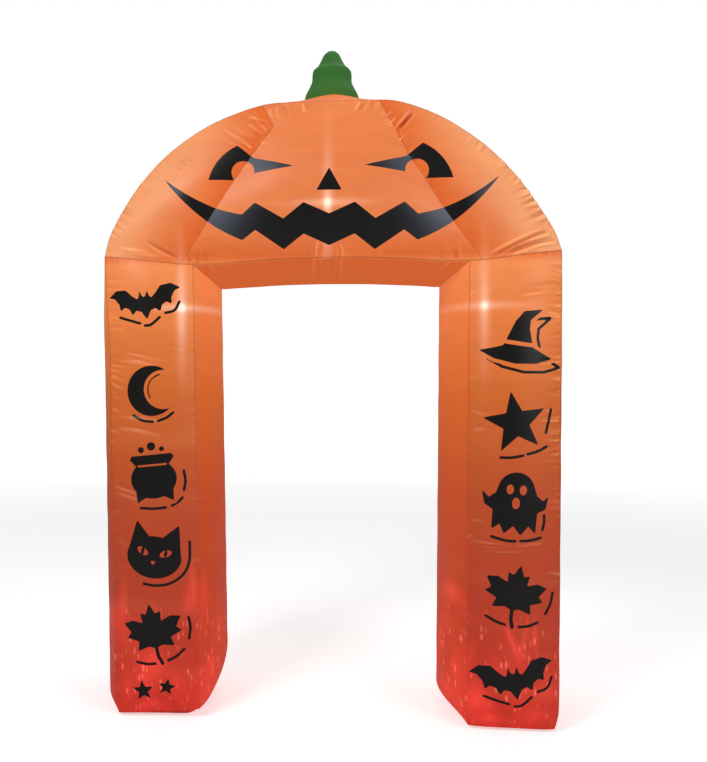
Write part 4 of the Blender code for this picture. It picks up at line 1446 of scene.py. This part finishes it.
def cloth_grain_group():
    """Weave and fine crumple of thin coated polyester, as one height in metres and one mask of
    uneven tone. The weave is two crossed sine waves; the crumple is stretched noise."""
    tree, given, result = group_with(
        "cloth_grain",
        (("Threads per metre", "NodeSocketFloat", 900.0),
         ("Weave height", "NodeSocketFloat", 0.00004),
         ("Crumple height", "NodeSocketFloat", 0.0010)),
        (("Height", "NodeSocketFloat"), ("Tone", "NodeSocketFloat")),
    )
    place = node(tree, "ShaderNodeTexCoord").outputs["Object"]
    split = feed(tree, node(tree, "ShaderNodeSeparateXYZ"), Vector=place)
    pace = maths(tree, "MULTIPLY", given.outputs["Threads per metre"], 2 * math.pi)
    threads = []
    for axis in ("X", "Z"):
        turn = maths(tree, "MULTIPLY", split.outputs[axis], pace)
        threads.append(maths(tree, "SINE", turn))
    weave = maths(tree, "MULTIPLY", threads[0], threads[1])
    weave = maths(tree, "MULTIPLY", weave, given.outputs["Weave height"])
    stretched = feed(tree, node(tree, "ShaderNodeMapping"), Vector=place, Scale=(5.0, 5.0, 13.0))
    crumple = feed(tree, node(tree, "ShaderNodeTexNoise"), Vector=stretched.outputs[0], Scale=1.6,
                   Detail=5.0, Roughness=0.55, Distortion=0.6)
    fine = feed(tree, node(tree, "ShaderNodeTexNoise"), Vector=place, Scale=42.0, Detail=3.0,
                Roughness=0.6)
    crumple_height = maths(tree, "MULTIPLY", crumple.outputs["Fac"],
                           given.outputs["Crumple height"])
    fine_height = maths(tree, "MULTIPLY", fine.outputs["Fac"], 0.00018)
    height = maths(tree, "ADD", maths(tree, "ADD", crumple_height, fine_height), weave)
    tree.links.new(height, result.inputs["Height"])
    tree.links.new(crumple.outputs["Fac"], result.inputs["Tone"])
    return tree


def flame_light_group():
    """The red light thrown on the cloth near the feet: a soft patchy wash that fades upwards,
    placed licks, and small bright drops. Takes the licks as a mask and gives a colour."""
    tree, given, result = group_with(
        "flame_light",
        (("Licks", "NodeSocketFloat", 0.0), ("Top", "NodeSocketFloat", 0.66),
         ("Wash", "NodeSocketColor", (0.31, 0.013, 0.012, 1.0)),
         ("Drop", "NodeSocketColor", (0.37, 0.092, 0.075, 1.0))),
        (("Color", "NodeSocketColor"),),
    )
    place = node(tree, "ShaderNodeTexCoord").outputs["Object"]
    height = object_height(tree)
    amount = maths(tree, "DIVIDE", height, given.outputs["Top"])
    amount = maths(tree, "SUBTRACT", 1.0, amount, clamp=True)
    tall = feed(tree, node(tree, "ShaderNodeMapping"), Vector=place, Scale=(57.0, 57.0, 21.0))
    cell = feed(tree, node(tree, "ShaderNodeTexVoronoi"), Vector=tall.outputs[0], Scale=1.0)
    chance = feed(tree, node(tree, "ShaderNodeSeparateColor"), Color=cell.outputs["Color"])
    drops = ramp_between(tree, cell.outputs["Distance"], 0.14, 0.42, 1.0, 0.0)
    lit = ramp_between(tree, chance.outputs["Red"], 0.42, 0.98)
    drops = maths(tree, "MULTIPLY", drops, lit)
    low = ramp_between(tree, height, 0.02, 0.18, 0.35, 1.0)
    high = ramp_between(tree, height, 0.30, 0.56, 1.0, 0.0)
    drops = maths(tree, "MULTIPLY", drops, maths(tree, "MULTIPLY", low, high))
    broad = feed(tree, node(tree, "ShaderNodeMapping"), Vector=place, Scale=(9.0, 6.0, 5.0))
    patches = feed(tree, node(tree, "ShaderNodeTexNoise"), Vector=broad.outputs[0], Scale=1.0,
                   Detail=2.0, Roughness=0.5)
    glow = ramp_between(tree, patches.outputs["Fac"], 0.42, 0.66, 0.10, 0.55)
    glow = maths(tree, "MULTIPLY", glow, maths(tree, "POWER", amount, 1.3))
    glow = maths(tree, "ADD", glow, given.outputs["Licks"], clamp=True)
    wash = mix_colour(tree, glow, BLACK, given.outputs["Wash"])
    bright = mix_colour(tree, drops, BLACK, given.outputs["Drop"])
    core = maths(tree, "MULTIPLY", given.outputs["Licks"], given.outputs["Licks"])
    bright = mix_colour(tree, maths(tree, "MULTIPLY", core, 0.15), bright, given.outputs["Drop"])
    total = mix_colour(tree, 1.0, wash, bright, "ADD")
    tree.links.new(total, result.inputs["Color"])
    return tree


def colour_by_height(tree, height, stops):
    """A colour ramp over the height."""
    ramp = node(tree, "ShaderNodeValToRGB")
    feed(tree, ramp, Fac=maths(tree, "DIVIDE", height, TALL))
    marks = ramp.color_ramp.elements
    marks[0].position, marks[1].position = stops[0][0] / TALL, stops[-1][0] / TALL
    marks[0].color, marks[1].color = (*stops[0][1], 1.0), (*stops[-1][1], 1.0)
    for at, colour in stops[1:-1]:
        marks.new(at / TALL).color = (*colour, 1.0)
    return ramp.outputs["Color"]


def value_of(tree, name):
    """The piece's attribute of that name."""
    return node(tree, "ShaderNodeAttribute", attribute_name=name).outputs["Fac"]


def print_mask(tree):
    """One in the black print, from the signed distances: inside a motif, and within the half
    width of a thin line that keeps clear of it."""
    distance = value_of(tree, "ink")
    ink = ramp_between(tree, distance, -PRINT_EDGE, PRINT_EDGE, 1.0, 0.0)
    beside = ramp_between(tree, distance, SHADOW_CLEAR - 0.001, SHADOW_CLEAR + 0.001)
    line = maths(tree, "ABSOLUTE", value_of(tree, "line"))
    line = ramp_between(tree, line, SHADOW_HALF_WIDTH - PRINT_EDGE,
                        SHADOW_HALF_WIDTH + PRINT_EDGE, 1.0, 0.0)
    return maths(tree, "MAXIMUM", ink, maths(tree, "MULTIPLY", line, beside))


def cloth_tone_with_painted_light(tree, height, grain_tone, trough, crest, stitch):
    """The cloth's colour by height, painted paler where more light is inside, duskier in patches,
    with painted shade in the troughs and under the head, a painted highlight on the crests, and
    dark along the stitching."""
    tone = colour_by_height(tree, height, CLOTH)
    tone = mix_colour(tree, ramp_between(tree, grain_tone, 0.3, 0.7, 0.0, 0.30), tone, DUSKY)
    # Painted shade in the troughs and a painted highlight on the crests.
    tone = mix_colour(tree, trough, tone, TROUGH_SHADE)
    tone = mix_colour(tree, maths(tree, "MULTIPLY", crest, 0.30), tone, CREST_HIGHLIGHT)
    # Painted shade under the head.
    tone = mix_colour(tree, value_of(tree, "shade"), tone, SOFFIT)
    return mix_colour(tree, maths(tree, "MULTIPLY", stitch, 0.55), tone, STITCH)


def light_through(tree, height, flame, trough, crest, stitch):
    """The light that comes through the cloth: by height on a column and by its paleness on the
    head, with the lamps' hot spots and the red light near the feet, and a painted highlight on the
    crests. It is less in the troughs, as painted shade, and where two layers are stitched."""
    on_head = ramp_between(tree, height, SHOULDER - 0.05, SHOULDER)
    pale = value_of(tree, "pale")
    column = colour_by_height(tree, height, INNER_LIGHT)
    column = mix_colour(tree, pale, column, REVEAL_LIGHT, "ADD")
    light = mix_colour(tree, on_head, column, mix_colour(tree, pale, *HEAD_LIGHT))
    light = mix_colour(tree, value_of(tree, "lamp"), light, LAMP_COLOUR)
    red = node(tree, "ShaderNodeGroup", node_tree=flame)
    feed(tree, red, Licks=value_of(tree, "lick"))
    light = mix_colour(tree, 1.0, light, red.outputs["Color"], "ADD")
    light = mix_colour(tree, value_of(tree, "shade"), light, SOFFIT_LIGHT)
    # A painted highlight on the crests.
    light = mix_colour(tree, crest, light, CREST_LIGHT, "ADD")
    # Less light in the troughs, as painted shade, and where two layers are stitched.
    covered = maths(tree, "MAXIMUM", maths(tree, "MULTIPLY", trough, 0.7),
                    maths(tree, "MULTIPLY", stitch, 0.35))
    return mix_colour(tree, covered, light, BLACK)


def new_material(name):
    """A material with its node tree and its shader."""
    material = bpy.data.materials.new(name)
    material.use_nodes = True
    return material, material.node_tree, material.node_tree.nodes["Principled BSDF"]


def finish_cloth(tree, shader, cloth, colour, light, smoothest, roughest):
    """Joins a cloth's colour, light, uneven roughness and relief to its shader."""
    rough = ramp_between(tree, cloth.outputs["Tone"], 0.3, 0.7, smoothest, roughest)
    bump = feed(tree, node(tree, "ShaderNodeBump"), Height=cloth.outputs["Height"], Strength=1.0,
                Distance=1.0)
    feed(tree, shader, Base_Color=colour, Emission_Color=light, Emission_Strength=1.0,
         Roughness=rough, Normal=bump.outputs["Normal"])


def object_height(tree):
    """Height of the shaded point."""
    place = node(tree, "ShaderNodeTexCoord").outputs["Object"]
    return feed(tree, node(tree, "ShaderNodeSeparateXYZ"), Vector=place).outputs["Z"]


def orange_cloth(grain, flame):
    """Thin orange polyester with a coating that shines softly, printed in black and lit by the
    lamps inside."""
    material, tree, shader = new_material("orange_cloth")
    height = object_height(tree)
    cloth = feed(tree, node(tree, "ShaderNodeGroup", node_tree=grain))
    ink = print_mask(tree)
    stitch = ramp_between(tree, value_of(tree, "seam"), 0.0, STITCH_WIDTH, 1.0, 0.0)
    stitch = maths(tree, "MULTIPLY", stitch, ramp_between(tree, height, 0.3, 1.5, 0.4, 1.0))
    fold = value_of(tree, "fold")
    # Where the folds' painted shade in troughs and painted highlight on crests go.
    trough = ramp_between(tree, fold, 0.0, -FOLD_DEEP, 0.0, 0.45)
    crest = ramp_between(tree, fold, 0.0, FOLD_DEEP, 0.0, 1.0)
    tone = cloth_tone_with_painted_light(tree, height, cloth.outputs["Tone"], trough, crest, stitch)
    light = light_through(tree, height, flame, trough, crest, stitch)
    # The print's sheen: a painted grey reflection, given as light.
    sheen = mix_colour(tree, value_of(tree, "sheen"), BLACK, PAINTED_INK_SHEEN)
    finish_cloth(tree, shader, cloth, mix_colour(tree, ink, tone, INK),
                 mix_colour(tree, ink, light, sheen), 0.34, 0.46)
    bare = maths(tree, "SUBTRACT", 1.0, value_of(tree, "shade"))
    feed(tree, shader, Specular_IOR_Level=0.0, Coat_Roughness=0.38,
         Coat_Weight=maths(tree, "MULTIPLY", bare, COATING))
    return material


def green_cloth(grain):
    """The stem's green polyester, painted lighter where the light inside comes through near its
    foot.
    """
    material, tree, shader = new_material("green_cloth")
    cloth = feed(tree, node(tree, "ShaderNodeGroup", node_tree=grain), Crumple_height=0.0014)
    foot = ramp_between(tree, object_height(tree), *STEM_FOOT, 1.0, 0.0)
    uneven = ramp_between(tree, cloth.outputs["Tone"], 0.35, 0.7, 0.0, 0.35)
    # Paler at the foot: painted light from inside.
    tone = mix_colour(tree, uneven, mix_colour(tree, foot, *STEM_DYE_AND_FOOT_LIGHT), STEM_DUSKY)
    finish_cloth(tree, shader, cloth, tone, mix_colour(tree, foot, *STEM_LIGHT), 0.60, 0.72)
    feed(tree, shader, Specular_IOR_Level=0.05, Sheen_Weight=0.10, Sheen_Roughness=0.4)
    return material


# Stage

CAMERA_DISTANCE = 3.48      # in front of the front seams
CAMERA_HEIGHT = 1.345
CAMERA_TURN = 6.0           # degrees to the left of straight ahead
FOCAL_PIXELS = 881.0        # focal length in pixels of a frame 762 high
FRAME_HEIGHT = 762.0
SHIFT_RIGHT = 117.0
SHIFT_UP = 1.0
SENSOR = 36.0
AMBIENT = 0.26              # strength of the surroundings as light
BACKDROP = 1.0              # and as what the camera sees
FLOOR_COLOUR = (0.80, 0.80, 0.80, 1.0)
FLOOR_LIFT = (0.54, 0.92)   # how much the floor is lightened, near the arch and far from it
FLOOR_FADE = (2.5, 14.0)    # distances between which that changes
LAMPS_OUTSIDE = (  # name, place, aim, size, power
    ("key", (-3.0, -4.2, 4.8), (0.0, 0.0, 1.4), 1.8, 172.0),
    ("fill", (3.8, -4.0, 2.8), (0.0, 0.0, 1.2), 2.4, 98.0),
    ("top", (0.6, 0.8, 5.4), (0.0, 0.0, 2.0), 2.4, 60.0),
)
FLOOR_REACH = 40.0          # half the side of the floor


def camera():
    """The camera stands straight in front of the arch at chest height, turned a little to the
    left, with its frame shifted back to the right."""
    data = bpy.data.cameras.new("camera")
    data.sensor_width = SENSOR
    data.lens = FOCAL_PIXELS / FRAME_HEIGHT * SENSOR
    data.shift_x = SHIFT_RIGHT / FRAME_HEIGHT
    data.shift_y = SHIFT_UP / FRAME_HEIGHT
    made = add_object("camera", data)
    made.location = (CENTRE_SHIFT, -DEPTH / 2 - CAMERA_DISTANCE, CAMERA_HEIGHT)
    made.rotation_euler = (math.radians(90), 0.0, math.radians(CAMERA_TURN))
    bpy.context.scene.camera = made


def floor_cloth():
    """A pale matt floor. What the camera sees of it is lightened towards the backdrop."""
    material, tree, shader = new_material("floor")
    place = node(tree, "ShaderNodeTexCoord").outputs["Object"]
    away = feed(tree, node(tree, "ShaderNodeVectorMath", operation="LENGTH"), i0=place)
    lift = ramp_between(tree, away.outputs["Value"], *FLOOR_FADE, *FLOOR_LIFT)
    seen = node(tree, "ShaderNodeLightPath").outputs["Is Camera Ray"]
    feed(tree, shader, Base_Color=FLOOR_COLOUR, Roughness=0.9, Specular_IOR_Level=0.1,
         Emission_Color=WHITE, Emission_Strength=maths(tree, "MULTIPLY", lift, seen))
    return material


def surroundings():
    """A pale backdrop to the camera and a softer even light to everything else."""
    world = bpy.data.worlds.new("world")
    bpy.context.scene.world = world
    world.use_nodes = True
    tree = world.node_tree
    seen = node(tree, "ShaderNodeLightPath").outputs["Is Camera Ray"]
    strength = ramp_between(tree, seen, 0.0, 1.0, AMBIENT, BACKDROP, smooth=False)
    feed(tree, tree.nodes["Background"], Color=WHITE, Strength=strength)


def stage():
    """The floor, the surroundings and three large soft lamps."""
    mesh = bpy.data.meshes.new("floor")
    corners = ((-1, -1), (1, -1), (1, 1), (-1, 1))
    mesh.from_pydata([(FLOOR_REACH * x, FLOOR_REACH * y, 0) for x, y in corners], [],
                     [(0, 1, 2, 3)])
    mesh.materials.append(floor_cloth())
    add_object("floor", mesh)
    surroundings()
    for name, spot, aim, size, power in LAMPS_OUTSIDE:
        data = bpy.data.lights.new(name, "AREA")
        data.energy = power
        data.size = size
        lamp = add_object(name, data)
        lamp.location = spot
        offset = [t - s for s, t in zip(spot, aim)]
        level = math.hypot(offset[0], offset[1])
        lamp.rotation_euler = (math.atan2(level, -offset[2]), 0.0,
                               math.atan2(offset[1], offset[0]) - math.pi / 2)


def dress(piece, material, node_name):
    """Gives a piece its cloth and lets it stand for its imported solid."""
    piece.data.materials.append(material)
    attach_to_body(piece, "root")
    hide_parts(node_name)


camera()
stage()
bpy.context.scene.view_settings.view_transform = "Standard"
cloth_grain = cloth_grain_group()
orange = orange_cloth(cloth_grain, flame_light_group())
green = green_cloth(cloth_grain)
left_side, right_side = SIDES["left"], SIDES["right"]
dress(column("left_column_skin", left_side, 101), orange, "left_column")
dress(column("right_column_skin", right_side, 202), orange, "right_column")
dress(head_side("head_left_skin", left_side, 303), orange, "head_left")
dress(head_side("head_right_skin", right_side, 404), orange, "head_right")
dress(head_middle("head_middle_skin", left_side, right_side, 505), orange, "head_middle")
dress(stem("stem_skin"), green, "stem")
